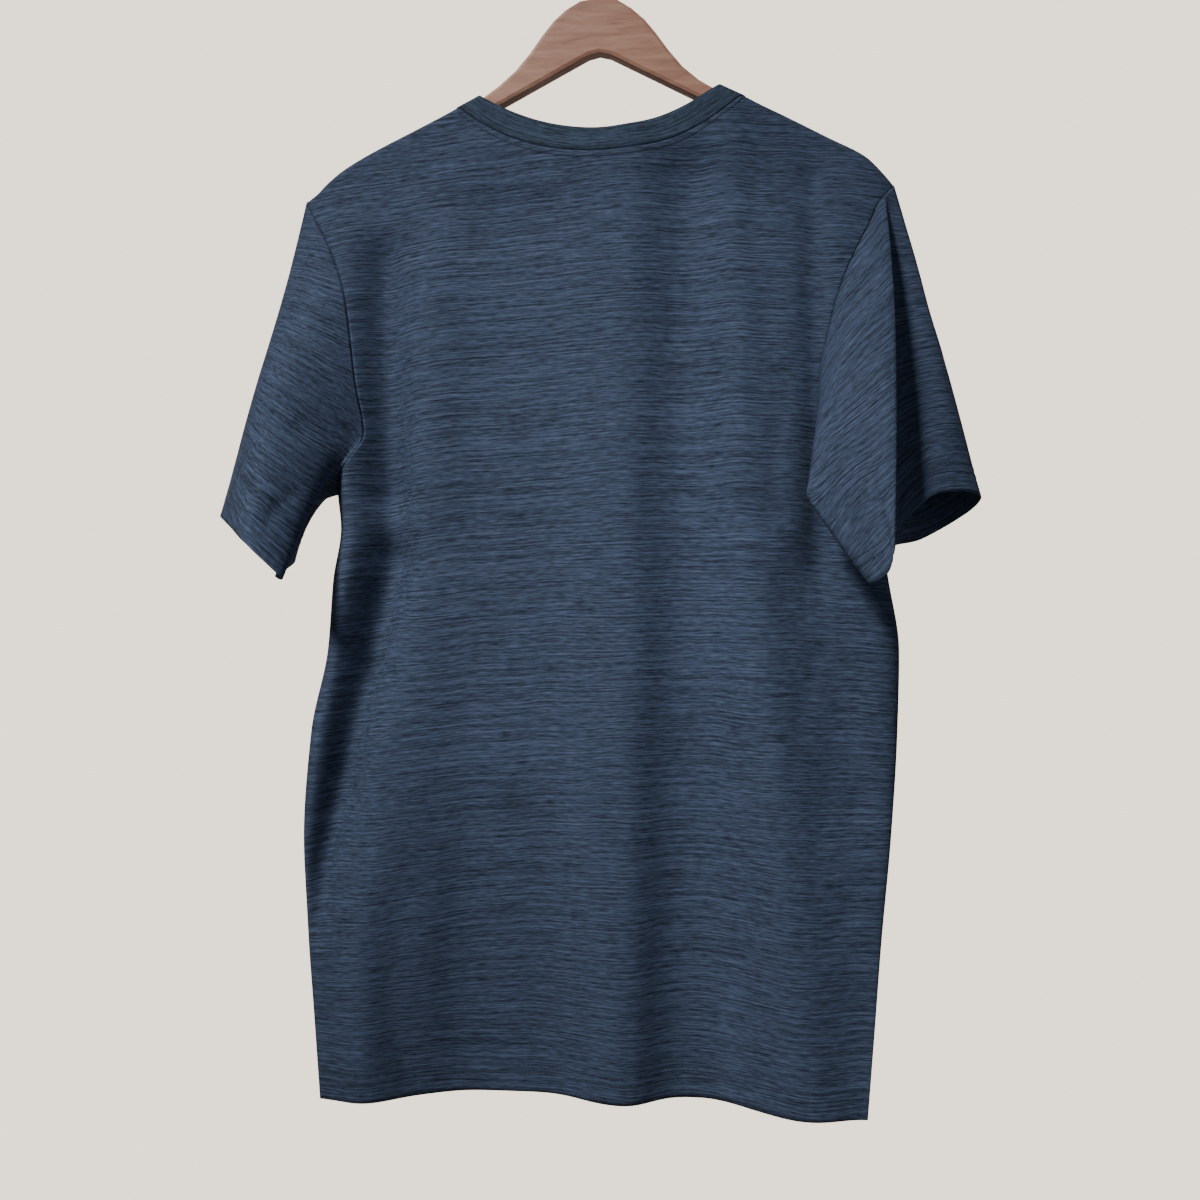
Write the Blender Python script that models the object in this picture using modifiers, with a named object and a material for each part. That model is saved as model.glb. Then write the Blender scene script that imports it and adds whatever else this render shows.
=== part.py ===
"""Short-sleeved crew-neck t-shirt of heathered jersey, hanging on a flat wooden hanger.

Metres, +Z up. The origin is the inside top of the hook, where a rail or a nail holds it.
-Y is the back of the garment, with the shallow neckline, and +Y is its front.
+X is the wearer's right. Heights in the tables are millimetres below the origin, so negative.

The garment is cut as a maker cuts it: back, front, two sleeves and a rib collar. Each is an
open wall of cloth, and the pieces stand a seam gap apart. The body is a tube whose girth
position runs from 0 at the centre back, over 1 at the wearer's right edge, to 2 at the centre
front and 3, or -1, at the left edge.
"""

import math

import bmesh
import bpy
import numpy as np

MM = 0.001

# Cloth
JERSEY = 1.6 * MM
RIB = 2.6 * MM
SEAM_GAP = 0.36 * MM

# Body
HEM_HEIGHT = -860 * MM
UNDERARM_HEIGHT = -428 * MM
SHOULDER_TIP_HEIGHT = -213 * MM
BACK_ROUND = 45 * MM  # how far in from a side edge the back turns, and the front
FRONT_ROUND = 70 * MM
BACK_FLAT = 0.72  # share of a side's girth that is flat, between the two rounded edges
FRONT_FLAT = 0.6
RIDGE_DROP = 6 * MM  # height over which the cloth turns down over a hanger arm

# Neck
NECK_HALF = 104 * MM
NECK_HEIGHT = -149.6 * MM
BACK_NECK_DROP = 38 * MM
FRONT_NECK_DROP = 88 * MM
BACK_NECK_POWER = 2.2
FRONT_NECK_POWER = 2.4
COLLAR_HALF = 88 * MM
COLLAR_HEIGHT = -141.5 * MM
COLLAR_BACK_DROP = 29.5 * MM
COLLAR_FRONT_DROP = 77.5 * MM
COLLAR_POWER = 1.9
COLLAR_LEAN = 0.86  # the rib's free edge stands this much nearer the neck than its seam

# Hanger and hook
WOOD_THICK = 12.5 * MM
WOOD_CLEAR = 2.3 * MM  # from the middle of the cloth on the shoulder to the wood under it
WOOD_EDGE = 3 * MM
ARM_TIP = 188 * MM
ARM_HEIGHT_AT_TIP = 15 * MM
V_APEX_HEIGHT = -111.5 * MM
V_SLOPE = 0.522
WOOD_TOP_HEIGHT = -73.5 * MM
HOOK_WIRE = 2.0 * MM
HOOK_INSIDE = 22 * MM
HOOK_SOCKET = 20 * MM
HOOK_NECK_HEIGHT = -58 * MM

# How many rows and strips each cloth is divided into
ROWS_BELOW = 18
ROWS_ARMHOLE = 15
SHOULDER_STRIPS = 8
BACK_NECK_STRIPS = 20
FRONT_NECK_STRIPS = 16
SLEEVE_ROWS = 10
COLLAR_ROWS = 2
SOFT_FOLD = 0.92  # cosine of half the turn at a seam, up to which it counts as soft
SHARP_FOLD = 0.62  # and past which it counts as sharp
MOST_DRAWN = 1.5 * MM
LEAST_STRIP = 0.004  # least share of the armhole between two strips of a sleeve

# The body tube: its side edges, across and in depth, and how far its two faces stand from y = 0
BODY_COLUMNS = ("height", "left", "right", "left_depth", "right_depth", "back", "front")
BODY = (
    (-860, -197, 186, -29, -34, 27, 34),
    (-800, -202, 191, -27, -31, 30, 35),
    (-740, -207, 196, -25, -27, 33, 35),
    (-670, -211, 203, -21, -22, 35, 34),
    (-600, -207, 208, -16, -16, 36, 33),
    (-540, -196, 210, -10, -10, 36, 31),
    (-490, -193, 203, -7, -6, 35, 30),
    (-455, -188, 198, -4, -4, 34, 29),
    (-428, -191, 197, -2, 0, 33, 28),
    (-380, -194, 196, 0, 0, 31, 26),
    (-330, -199, 197, 0, 0, 28, 23),
    (-280, -206, 200, 0, 0, 23, 19),
    (-240, -212, 205, 0, 0, 16, 17),
    (-213, -216, 208, 0, 0, 11, 14),
    (-180, -216, 208, 0, 0, 9, 12),
    (-140, -216, 208, 0, 0, 8.6, 10),
)

# The seams: how far across the armhole seams lie, on the back and on the front
ARMHOLE_COLUMNS = ("height", "back_left", "back_right", "front_left", "front_right")
ARMHOLE = (
    (-428, -191, 197, -191, 197),
    (-418, -188, 178, -181, 186),
    (-405, -179, 160, -172, 177),
    (-385, -169, 154, -165, 170),
    (-350, -174, 155, -162, 164),
    (-313, -178, 162, -164, 162),
    (-286, -182, 170, -168, 165),
    (-262, -190, 180, -176, 172),
    (-240, -201, 191, -188, 184),
    (-228, -208, 196, -199, 195),
    (-213, -216, 208, -216, 208),
)

# The shoulder line on the hanger, out from the neck
SHOULDER_COLUMNS = ("across", "left", "right")
SHOULDER = (
    (0, -86, -86),
    (70, -131, -131),
    (104, -149.6, -149.6),
    (132, -163, -163),
    (166, -179, -180),
    (188, -191, -192),
    (200, -200, -204),
    (208, -208, -214),
    (216, -214, -226),
)

# Folds: lines down the cloth, their half width, how far they stand out (or in, if negative),
# and the power that makes them round (2) or flat-topped (4)
BACK_FOLDS = (
    # top, bottom, top across, bottom across, top half, bottom half, top out, bottom out, power
    # bow of the neckline away from the hanger
    (-150, -330, 0, 0, 70, 60, 12, 0, 2),
    # flat hollow left of the centre, and the valley right of it
    (-260, -900, -62, -69, 40, 44, -3, -26, 4),
    (-230, -900, 66, 64, 22, 34, -6, -36, 3),
    # ridge from the collar, which leans out to the right and widens below the sleeve
    (-150, -500, 94, 100, 18, 21, 4, 11, 2),
    (-480, -900, 100, 155, 21, 28, 11, 18, 2),
    # ridge in the hem, left of the hollow
    (-600, -900, -152, -170, 18, 24, 4, 12, 2),
    # valley beside the roll under the left armhole
    (-340, -640, -149, -151, 17, 18, -6, -12, 2),
    (-620, -800, -151, -142, 18, 20, -12, -2, 2),
    (-350, -560, -176, -178, 14, 16, 3, 5, 2),
    # hollow under the right sleeve
    (-400, -640, 168, 176, 20, 22, -6, -9, 2),
    # shoulder blade
    (-190, -420, -96, -120, 26, 30, 2, 3, 2),
)
FRONT_FOLDS = (
    # top, bottom, top across, bottom across, top half, bottom half, top out, bottom out, power
    (-290, -900, -76, -96, 30, 34, 2, 13, 2),
    (-290, -900, -20, -26, 28, 32, -3, -12, 2),
    (-290, -900, 46, 40, 28, 36, 3, 12, 2),
    (-300, -900, 108, 116, 26, 30, -3, -11, 2),
    (-330, -620, -150, -150, 18, 20, -5, -8, 2),
    (-320, -560, 148, 152, 18, 20, -5, -6, 2),
)

# Sleeves: lines that run from the armhole, through a middle ring, to the cuff. share is the place
# on the armhole seam, from the underarm up the back to the shoulder and down the front. crease is
# 0 where the line bends softly and 1 where it is kinked. lift is how far the line first stands
# out from the armhole.
SLEEVE_MIDDLE = 0.5  # how far down the sleeve its middle ring is
SLEEVE_PIVOT = 150 * MM  # how far across the upright line is that the lifted cloth stands away from
LEFT_SLEEVE = (
    # line, share, crease, lift, middle ring across, depth and height, cuff across, depth and height
    ("underarm", 0.00, 0, 6, -211, -20, -450, -217, -58, -491),
    ("inner ridge", 0.14, 0, 5, -204, -46, -430, -213, -84, -487),
    ("crest", 0.26, 0, 2, -217, -56, -398, -228, -90, -469),
    ("facet", 0.40, 0, 0, -236, -36, -352, -255, -48, -455),
    ("overarm", 0.50, 0, 0, -244, 0, -320, -281, 0, -444),
    ("far outer", 0.60, 0, 0, -243, 16, -342, -276, 24, -452),
    ("far middle", 0.76, 0, 2, -222, 22, -385, -246, 32, -467),
    ("far inner", 0.91, 0, 5, -207, 8, -434, -226, 2, -476),
)
RIGHT_SLEEVE = (
    # line, share, crease, lift, middle ring across, depth and height, cuff across, depth and height
    ("underarm", 0.00, 0, 9, 202, -24, -458, 190, -50, -480),
    ("border", 0.10, 1, 7.5, 140, -68, -439, 183, -82, -495),
    ("flap", 0.24, 0, 2, 168, -62, -398, 193, -89, -488),
    ("crest", 0.45, 0, 1, 199, -50, -340, 199, -89, -474),
    ("behind crest", 0.465, 0, 0, 200, -28, -336, 202, -60, -463),
    ("valley", 0.48, 0, 0, 208, -14, -332, 209, -28, -456),
    ("near outer", 0.487, 0, 0, 222, -10, -329, 231, -22, -434),
    ("outer", 0.493, 0, 1, 234, -7, -325, 250, -14, -430),
    ("overarm", 0.50, 0, 1, 239, 0, -328, 268, 0, -432),
    ("far outer", 0.58, 0, 2, 234, 14, -344, 265, 20, -441),
    ("far middle", 0.74, 0, 2, 216, 20, -384, 232, 28, -461),
    ("far inner", 0.90, 0, 5, 208, 8, -430, 208, 6, -467),
)

# The hanger's raised middle: from its crown, through the waist, to each arm
CROWN = (
    # height, left, right
    (-75.2, -14, 13),
    (-81.6, -25, 23),
    (-89.6, -34, 32),
    (-99.5, -42, 40),
    (-112.0, -51, 49),
    (-124.2, -61.5, 59),
    (-134.5, -73.5, 71),
    (-141.8, -84, 83),
    (-146.2, -88.5, 88.5),
    (-154.8, -104, 104),
)


def table(columns, rows, unit=MM):
    """Each named column as an array, in metres."""
    return {name: np.array([row[i] for row in rows], float) * unit for i, name in enumerate(columns)}


def rising(values, by):
    """A table's columns put in rising order of one of them."""
    order = np.argsort(values[by])
    return {name: column[order] for name, column in values.items()}


BODY_TABLE = rising(table(BODY_COLUMNS, BODY), "height")
ARMHOLE_TABLE = rising(table(ARMHOLE_COLUMNS, ARMHOLE), "height")
SHOULDER_TABLE = table(SHOULDER_COLUMNS, SHOULDER)


def smooth(knots, values, at):
    """A smooth curve through the knots that never overshoots them, read at some places."""
    step = np.diff(knots)
    slope = np.diff(values) / step
    before, after = slope[:-1], slope[1:]
    turn = before * after > 0
    inner = np.where(turn, 2 * before * after / np.where(turn, before + after, 1), 0)
    tangent = np.concatenate([slope[:1], inner, slope[-1:]])
    at = np.clip(at, knots[0], knots[-1])
    k = np.clip(np.searchsorted(knots, at) - 1, 0, len(step) - 1)
    t = (at - knots[k]) / step[k]
    return (
        values[k] * (1 + 2 * t) * (1 - t) ** 2
        + tangent[k] * step[k] * t * (1 - t) ** 2
        + values[k + 1] * t**2 * (3 - 2 * t)
        + tangent[k + 1] * step[k] * t**2 * (t - 1)
    )


def ease(value):
    """0 to 1 with a soft start and end."""
    value = np.clip(value, 0, 1)
    return value * value * (3 - 2 * value)


def shoulder_height(x):
    left = smooth(SHOULDER_TABLE["across"], SHOULDER_TABLE["left"], np.abs(x))
    right = smooth(SHOULDER_TABLE["across"], SHOULDER_TABLE["right"], np.abs(x))
    return np.where(x < 0, left, right)


def neck_height(x, drop, power):
    return NECK_HEIGHT - drop * (1 - np.clip(np.abs(x) / NECK_HALF, 0, 1) ** power)


def fold_height(folds, x, z):
    """How far the folds of one face stand out at each place."""
    out = np.zeros_like(x)
    for top, bottom, across0, across1, half0, half1, out0, out1, power in folds:
        share = np.clip((top * MM - z) / ((top - bottom) * MM), 0, 1)
        ends = ease((top * MM + 40 * MM - z) / (40 * MM)) * ease((z - bottom * MM + 60 * MM) / (60 * MM))
        across = (across0 + (across1 - across0) * share) * MM
        half = (half0 + (half1 - half0) * share) * MM
        rise = (out0 + (out1 - out0) * share) * MM
        out = out + rise * ends * np.exp(-(np.abs((x - across) / half) ** power))
    return out


def body_at(name, z):
    """One column of the body table, read at each height."""
    return smooth(BODY_TABLE["height"], BODY_TABLE[name], z)


def body_point(girth, z):
    """The middle of the cloth at a girth position and height."""
    left, right = body_at("left", z), body_at("right", z)
    on_back = girth <= 1
    side = np.where(on_back, girth, 2 - girth)
    flat = np.where(on_back, BACK_FLAT, FRONT_FLAT)
    reach = np.where(on_back, BACK_ROUND, FRONT_ROUND)
    centre, half = (left + right) / 2, (right - left) / 2
    amount = np.abs(side)
    turn = np.clip((amount - flat) / (1 - flat), 0, 1) * math.pi / 2
    level = amount / flat * (half - reach)
    rounded = half - reach + reach * np.sin(turn)
    x = centre + np.sign(side) * np.where(amount < flat, level, rounded)
    depth = np.where(side < 0, body_at("left_depth", z), body_at("right_depth", z)) * (1 - np.cos(turn))
    window = 1 - amount**8
    out_back = body_at("back", z) * np.cos(turn) + fold_height(BACK_FOLDS, x, z) * window
    out_front = body_at("front", z) * np.cos(turn) + fold_height(FRONT_FOLDS, x, z) * window
    below = np.clip((shoulder_height(x) - z) / RIDGE_DROP, 0, 1)
    ridge = np.sqrt(1 - (1 - below) ** 2)
    y = np.where(on_back, -out_back, out_front) * ridge + depth
    return np.stack([x, y, z], axis=-1)


def girth_at(x, z, flat, reach):
    """The share of a side's girth, from -1 to 1, at which the tube is this far across."""
    left, right = body_at("left", z), body_at("right", z)
    centre, half = (left + right) / 2, (right - left) / 2
    amount = np.clip(np.abs(x - centre), 0, half)
    over = np.clip((amount - half + reach) / reach, 0, 1)
    rounded = flat + (1 - flat) * np.arcsin(over) / (math.pi / 2)
    share = np.where(over > 0, rounded, amount / (half - reach) * flat)
    return np.sign(x - centre) * share


def seam_girth(name, z):
    """Where a side seam, and the armhole seam above it, lies round the body."""
    across = smooth(ARMHOLE_TABLE["height"], ARMHOLE_TABLE[name], z)
    edge = 1.0 if name.endswith("right") else -1.0
    on_back = name.startswith("back")
    flat, reach = (BACK_FLAT, BACK_ROUND) if on_back else (FRONT_FLAT, FRONT_ROUND)
    share = np.where(z <= UNDERARM_HEIGHT + 1e-6, edge, girth_at(across, z, flat, reach))
    return share if on_back else 2 - share


def row_shares():
    """The rows of a body panel as shares of its height, closer together at both armhole ends."""
    underarm = (UNDERARM_HEIGHT - HEM_HEIGHT) / (SHOULDER_TIP_HEIGHT - HEM_HEIGHT)
    below = np.linspace(0, underarm, ROWS_BELOW, endpoint=False)
    t = np.linspace(0, 1, ROWS_ARMHOLE + 1)
    return np.concatenate([below, underarm + (1 - underarm) * (1 - np.cos(t * math.pi)) / 2])


def panel(seams, neck_strips, drop, power):
    """A body panel's grid, rows from the hem up and strips from one side seam to the other."""
    start, end = seams

    def across_share(strip_x, girth0, girth1):
        wide = np.linspace(0, 1, 400)
        tip = np.full_like(wide, SHOULDER_TIP_HEIGHT)
        x = body_point(girth0 + (girth1 - girth0) * wide, tip)[:, 0]
        order = np.argsort(x)
        return np.interp(strip_x, x[order], wide[order])

    tip = np.array([SHOULDER_TIP_HEIGHT])
    girth0, girth1 = seam_girth(start, tip)[0], seam_girth(end, tip)[0]
    sign = 1 if start == "back_left" else -1
    shoulder = np.linspace(0, 1, SHOULDER_STRIPS, endpoint=False)
    neck_x = NECK_HALF * np.sin(np.linspace(-1, 1, neck_strips + 1) * math.pi / 2)
    neck_share = across_share(sign * neck_x, girth0, girth1)
    share = np.concatenate(
        [neck_share[0] * shoulder, neck_share, (1 - (1 - neck_share[-1]) * shoulder)[::-1]]
    )
    rows = row_shares()[:, None]
    share = share[None, :] + 0 * rows
    z = HEM_HEIGHT + (SHOULDER_TIP_HEIGHT - HEM_HEIGHT) * rows + 0 * share
    for _ in range(12):
        girth = seam_girth(start, z) * (1 - share) + seam_girth(end, z) * share
        x = body_point(girth, z)[..., 0]
        neck = neck_height(x, drop, power)
        top = np.where(np.abs(x) < NECK_HALF, np.minimum(neck, shoulder_height(x)), shoulder_height(x))
        top[:, 0] = top[:, -1] = SHOULDER_TIP_HEIGHT
        z = HEM_HEIGHT + (top[-1:, :] - HEM_HEIGHT) * rows
    return body_point(girth, z)


def measured(line):
    """The length of a line of points up to each of them."""
    return np.concatenate([[0], np.cumsum(np.linalg.norm(np.diff(line, axis=0), axis=1))])


def ring(knots, corners, places):
    """A closed smooth curve through the corners at their shares, read at some places."""
    count = len(corners)
    points = np.zeros((len(places), 3))
    for k in range(count):
        before, here, there, after = (corners[(k + step) % count] for step in (-1, 0, 1, 2))
        d0, d1, d2 = (math.sqrt(np.linalg.norm(b - a)) for a, b in
                      ((before, here), (here, there), (there, after)))
        leave = ((here - before) / d0 - (there - before) / (d0 + d1) + (there - here) / d1) * d1
        arrive = ((there - here) / d1 - (after - here) / (d1 + d2) + (after - there) / d2) * d1
        inside = (places >= knots[k]) & (places < knots[k + 1])
        t = ((places[inside] - knots[k]) / (knots[k + 1] - knots[k]))[:, None]
        points[inside] = (
            here * (1 + 2 * t) * (1 - t) ** 2 + leave * t * (1 - t) ** 2
            + there * t**2 * (3 - 2 * t) + arrive * t**2 * (t - 1)
        )
    return points


def sleeve(lines, back_edge, front_edge):
    """A sleeve's grid, rows from the armhole to the cuff and strips round from the underarm."""
    up, down = measured(back_edge), measured(front_edge[::-1])
    seam = np.concatenate([back_edge, front_edge[::-1][1:]])
    seam_share = np.concatenate([up / up[-1] / 2, (0.5 + down / down[-1] / 2)[1:]])
    knots = np.array([row[1] for row in lines] + [1.0])
    places = list(seam_share[:-1])
    for share in np.concatenate([knots[:-1], (knots[:-1] + knots[1:]) / 2]):
        if min(abs(share - place) for place in places + [1.0]) > LEAST_STRIP:
            places.append(share)
    places = np.sort(np.array(places))
    armhole = np.stack([np.interp(places, seam_share, seam[:, axis]) for axis in range(3)], axis=-1)
    middle = ring(knots, [np.array(row[4:7]) * MM for row in lines], places)
    cuff = ring(knots, [np.array(row[7:10]) * MM for row in lines], places)
    crease = np.interp(places, knots, [row[2] for row in lines] + [lines[0][2]])[:, None]
    lift = np.interp(places, knots, [row[3] for row in lines] + [lines[0][3]])[:, None] * MM
    outward = armhole - np.array([math.copysign(SLEEVE_PIVOT, lines[0][4]), 0, 0])
    outward[:, 2] = 0
    outward /= np.linalg.norm(outward, axis=1, keepdims=True)
    t = np.linspace(0, 1, SLEEVE_ROWS + 1)[:, None, None]
    m = SLEEVE_MIDDLE
    soft = (
        armhole * (t - m) * (t - 1) / m
        + middle * t * (t - 1) / (m * (m - 1))
        + cuff * t * (t - m) / (1 - m)
    )
    upper, lower = np.clip(t / m, 0, 1), np.clip((t - m) / (1 - m), 0, 1)
    kinked = armhole * (1 - upper) + middle * (upper - lower) + cuff * lower
    rise = 27 / 4 * t * (1 - t) ** 2  # 0 at both ends and 1 at a third of the way down
    return soft * (1 - crease) + kinked * crease + outward * lift * rise


def collar(back_neck, front_neck):
    """The rib's grid, rows from its seam to its free edge, round from the left neck point."""
    seam = np.concatenate([back_neck[:-1], front_neck[:-1]])
    on_back = np.arange(len(seam)) < len(back_neck)
    x = seam[:, 0] * COLLAR_HALF / NECK_HALF
    share = np.clip(np.abs(x) / COLLAR_HALF, 0, 1)
    drop = np.where(on_back, COLLAR_BACK_DROP, COLLAR_FRONT_DROP)
    z = COLLAR_HEIGHT - drop * (1 - share**COLLAR_POWER)
    free = np.stack([x, seam[:, 1] * COLLAR_LEAN, z], axis=-1)
    t = np.linspace(0, 1, COLLAR_ROWS + 1)[:, None, None]
    return seam * (1 - t) + free * t


def normals_of(grid, closed, flip):
    """Unit normals of a grid of points, pointing out of the garment."""
    if closed:
        across = np.roll(grid, -1, axis=1) - np.roll(grid, 1, axis=1)
    else:
        across = np.gradient(grid, axis=1)
    normal = np.cross(across, np.gradient(grid, axis=0))
    normal /= np.linalg.norm(normal, axis=-1, keepdims=True)
    return -normal if flip else normal


class Cloth:
    """One cut piece: the grid of its middle, its normals, and which of its edges are sewn."""

    def __init__(self, name, grid, thick, material, sewn, closed=False, flip=False):
        self.name, self.grid, self.thick, self.material = name, grid, thick, material
        self.sewn, self.closed, self.flip = sewn, closed, flip
        self.normals = normals_of(grid, closed, flip)
        self.own_normals = self.normals.copy()

    def sewn_places(self):
        """Row and strip of each point on a sewn edge."""
        rows, strips = self.grid.shape[:2]
        places = []
        if "first row" in self.sewn:
            places += [(0, j) for j in range(strips)]
        if "last row" in self.sewn:
            places += [(rows - 1, j) for j in range(strips)]
        if "sides" in self.sewn:
            places += [(i, j) for i in range(rows) for j in (0, strips - 1)]
        return places

    def segments(self):
        """The sewn edges as point pairs with their normals."""
        rows, strips = self.grid.shape[:2]
        pairs = []
        ring = range(strips if self.closed else strips - 1)
        if "first row" in self.sewn:
            pairs += [((0, j), (0, (j + 1) % strips)) for j in ring]
        if "last row" in self.sewn:
            pairs += [((rows - 1, j), (rows - 1, (j + 1) % strips)) for j in ring]
        if "sides" in self.sewn:
            pairs += [((i, j), (i + 1, j)) for i in range(rows - 1) for j in (0, strips - 1)]
        return pairs


def share_normals(pieces):
    """Turn the normals along each seam to the mean of the pieces that meet there.

    Where they meet in a sharp fold, as in the armpit, each keeps its own normal instead, and its
    edge is drawn back until the two walls clear each other.
    """
    for piece in pieces:
        piece.draw = np.full(piece.grid.shape[:2], SEAM_GAP / 2)
        for i, j in piece.sewn_places():
            point = piece.grid[i, j]
            met = [piece.own_normals[i, j]]
            for other in pieces:
                if other is piece:
                    continue
                pairs = other.segments()
                a = np.array([other.grid[p] for p, _ in pairs])
                b = np.array([other.grid[q] for _, q in pairs])
                run = b - a
                length = np.maximum((run**2).sum(axis=1), 1e-18)
                t = np.clip(((point - a) * run).sum(axis=1) / length, 0, 1)
                away = np.linalg.norm(a + run * t[:, None] - point, axis=1)
                k = int(np.argmin(away))
                if away[k] < 0.02 * MM:
                    p, q = pairs[k]
                    normal = other.own_normals[p] * (1 - t[k]) + other.own_normals[q] * t[k]
                    met.append(normal / np.linalg.norm(normal))
            mean = np.sum(met, axis=0)
            mean /= np.linalg.norm(mean)
            level = min(float(normal @ mean) for normal in met)
            apart = 1 - min(max((level - SHARP_FOLD) / (SOFT_FOLD - SHARP_FOLD), 0), 1)
            normal = mean * (1 - apart) + piece.own_normals[i, j] * apart
            piece.normals[i, j] = normal / np.linalg.norm(normal)
            level = min(max(level, 0.1), 1)
            steep = math.sqrt(1 - level**2) / level
            piece.draw[i, j] += apart * min(piece.thick / 2 * steep, MOST_DRAWN)


def drawn_in(piece):
    """The grid with each sewn edge drawn back by half of the seam gap."""
    grid = piece.grid.copy()

    def draw(edge, inner):
        line = piece.grid[edge]
        if piece.closed:
            run = np.roll(line, -1, axis=0) - np.roll(line, 1, axis=0)
        else:
            run = np.gradient(line, axis=0)
        inward = np.cross(run, piece.own_normals[edge])
        inward /= np.linalg.norm(inward, axis=-1, keepdims=True)
        inward *= np.sign((inward * (piece.grid[inner] - line)).sum(axis=-1, keepdims=True))
        grid[edge] += piece.draw[edge][:, None] * inward

    whole = slice(None)
    if "first row" in piece.sewn:
        draw((0, whole), (1, whole))
    if "last row" in piece.sewn:
        draw((-1, whole), (-2, whole))
    if "sides" in piece.sewn:
        draw((whole, 0), (whole, 1))
        draw((whole, -1), (whole, -2))
    return grid


def wall(piece, collection):
    """The piece as one closed wall of cloth."""
    grid = drawn_in(piece)
    rows, strips = grid.shape[:2]
    outer = grid + piece.normals * piece.thick / 2
    inner = grid - piece.normals * piece.thick / 2
    points = np.concatenate([outer.reshape(-1, 3), inner.reshape(-1, 3)])
    count = rows * strips
    ring = strips if piece.closed else strips - 1
    faces = []

    def at(i, j, layer=0):
        return layer * count + i * strips + j % strips

    def split(quad, spots):
        """A four-sided face as two triangles, along its shorter diagonal."""
        a, b, c, d = (spots[index] for index in quad)
        if np.linalg.norm(c - a) > np.linalg.norm(d - b):
            quad = quad[1:] + quad[:1]
        return [(quad[0], quad[1], quad[2]), (quad[0], quad[2], quad[3])]

    middle = grid.reshape(-1, 3)
    for i in range(rows - 1):
        for j in range(ring):
            # Both sides of the wall are split along the same diagonal.
            for face in split((at(i, j), at(i, j + 1), at(i + 1, j + 1), at(i + 1, j)), middle):
                faces += [face, tuple(index + count for index in reversed(face))]
    for j in range(ring):
        faces += split((at(0, j), at(0, j, 1), at(0, j + 1, 1), at(0, j + 1)), points)
        i = rows - 1
        faces += split((at(i, j + 1), at(i, j + 1, 1), at(i, j, 1), at(i, j)), points)
    if not piece.closed:
        last = strips - 1
        for i in range(rows - 1):
            faces += split((at(i + 1, 0), at(i + 1, 0, 1), at(i, 0, 1), at(i, 0)), points)
            faces += split((at(i, last), at(i, last, 1), at(i + 1, last, 1), at(i + 1, last)), points)
    if piece.flip:
        faces = [tuple(reversed(face)) for face in faces]
    mesh = bpy.data.meshes.new(piece.name)
    mesh.from_pydata(points.tolist(), [], faces)
    mesh.shade_smooth()
    mesh.set_sharp_from_angle(angle=math.radians(50))
    solid = bpy.data.objects.new(piece.name, mesh)
    solid.data.materials.append(piece.material)
    collection.objects.link(solid)
    return solid


def material(name, colour, roughness, metallic=0.0):
    made = bpy.data.materials.new(name)
    made.use_nodes = True
    shader = made.node_tree.nodes["Principled BSDF"]
    shader.inputs["Base Color"].default_value = (*colour, 1)
    shader.inputs["Roughness"].default_value = roughness
    shader.inputs["Metallic"].default_value = metallic
    return made


def wood_outline(shoulder):
    """The hanger's outline across and up: down the right side from the crown, and up the left."""
    arm = [(float(x), float(z) - WOOD_CLEAR) for x, _, z in shoulder if NECK_HALF * 1.01 < abs(x) < ARM_TIP]
    right = sorted(point for point in arm if point[0] > 0)
    left = sorted((point for point in arm if point[0] < 0), reverse=True)
    tip_top = min(right[-1][1], left[-1][1]) - 5 * MM
    crown = {name: [(row[i] * MM, row[0] * MM) for row in CROWN] for i, name in ((1, "left"), (2, "right"))}
    under = [(ARM_TIP, tip_top), (ARM_TIP, tip_top - ARM_HEIGHT_AT_TIP + 6 * MM),
             (ARM_TIP - 5 * MM, V_APEX_HEIGHT - V_SLOPE * (ARM_TIP - 5 * MM)),
             (8 * MM, V_APEX_HEIGHT - V_SLOPE * 8 * MM)]
    side = crown["right"] + right + under
    mirrored = crown["left"] + left + [(-x, z) for x, z in under]
    top = [(0, WOOD_TOP_HEIGHT)]
    apex = [(0, V_APEX_HEIGHT - 2.2 * MM)]
    return top + side + apex + mirrored[::-1]


def hanger(collection, wood, shoulder):
    """The wooden part: its outline given thickness, its edges rounded, its socket drilled."""
    mesh = bmesh.new()
    outline = wood_outline(shoulder)
    ring = [mesh.verts.new((x, -WOOD_THICK / 2, z)) for x, z in outline]
    face = mesh.faces.new(ring)
    moved = bmesh.ops.extrude_face_region(mesh, geom=[face])["geom"]
    bmesh.ops.translate(
        mesh, vec=(0, WOOD_THICK, 0), verts=[part for part in moved if isinstance(part, bmesh.types.BMVert)]
    )
    bmesh.ops.recalc_face_normals(mesh, faces=mesh.faces[:])
    data = bpy.data.meshes.new("hanger")
    mesh.to_mesh(data)
    mesh.free()
    body = bpy.data.objects.new("hanger", data)
    collection.objects.link(body)
    body.data.materials.append(wood)
    edge = body.modifiers.new("rounded edges", "BEVEL")
    edge.width = WOOD_EDGE
    edge.segments = 2
    edge.limit_method = "ANGLE"
    edge.angle_limit = math.radians(50)
    return body


def drill_socket(body, cutters):
    """The hole in the crown that the hook's shank sits in."""
    depth = HOOK_SOCKET + 6 * MM
    bpy.ops.mesh.primitive_cylinder_add(
        vertices=16, radius=HOOK_WIRE + 0.35 * MM, depth=depth,
        location=(0, 0, WOOD_TOP_HEIGHT - HOOK_SOCKET + depth / 2),
    )
    drill = bpy.context.object
    drill.name = "socket_drill"
    drill.hide_render = True
    drill.display_type = "WIRE"
    for home in list(drill.users_collection):
        home.objects.unlink(drill)
    cutters.objects.link(drill)
    cut = body.modifiers.new("socket", "BOOLEAN")
    cut.object = drill
    cut.operation = "DIFFERENCE"
    body.data.shade_smooth()
    body.data.set_sharp_from_angle(angle=math.radians(40))


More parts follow.
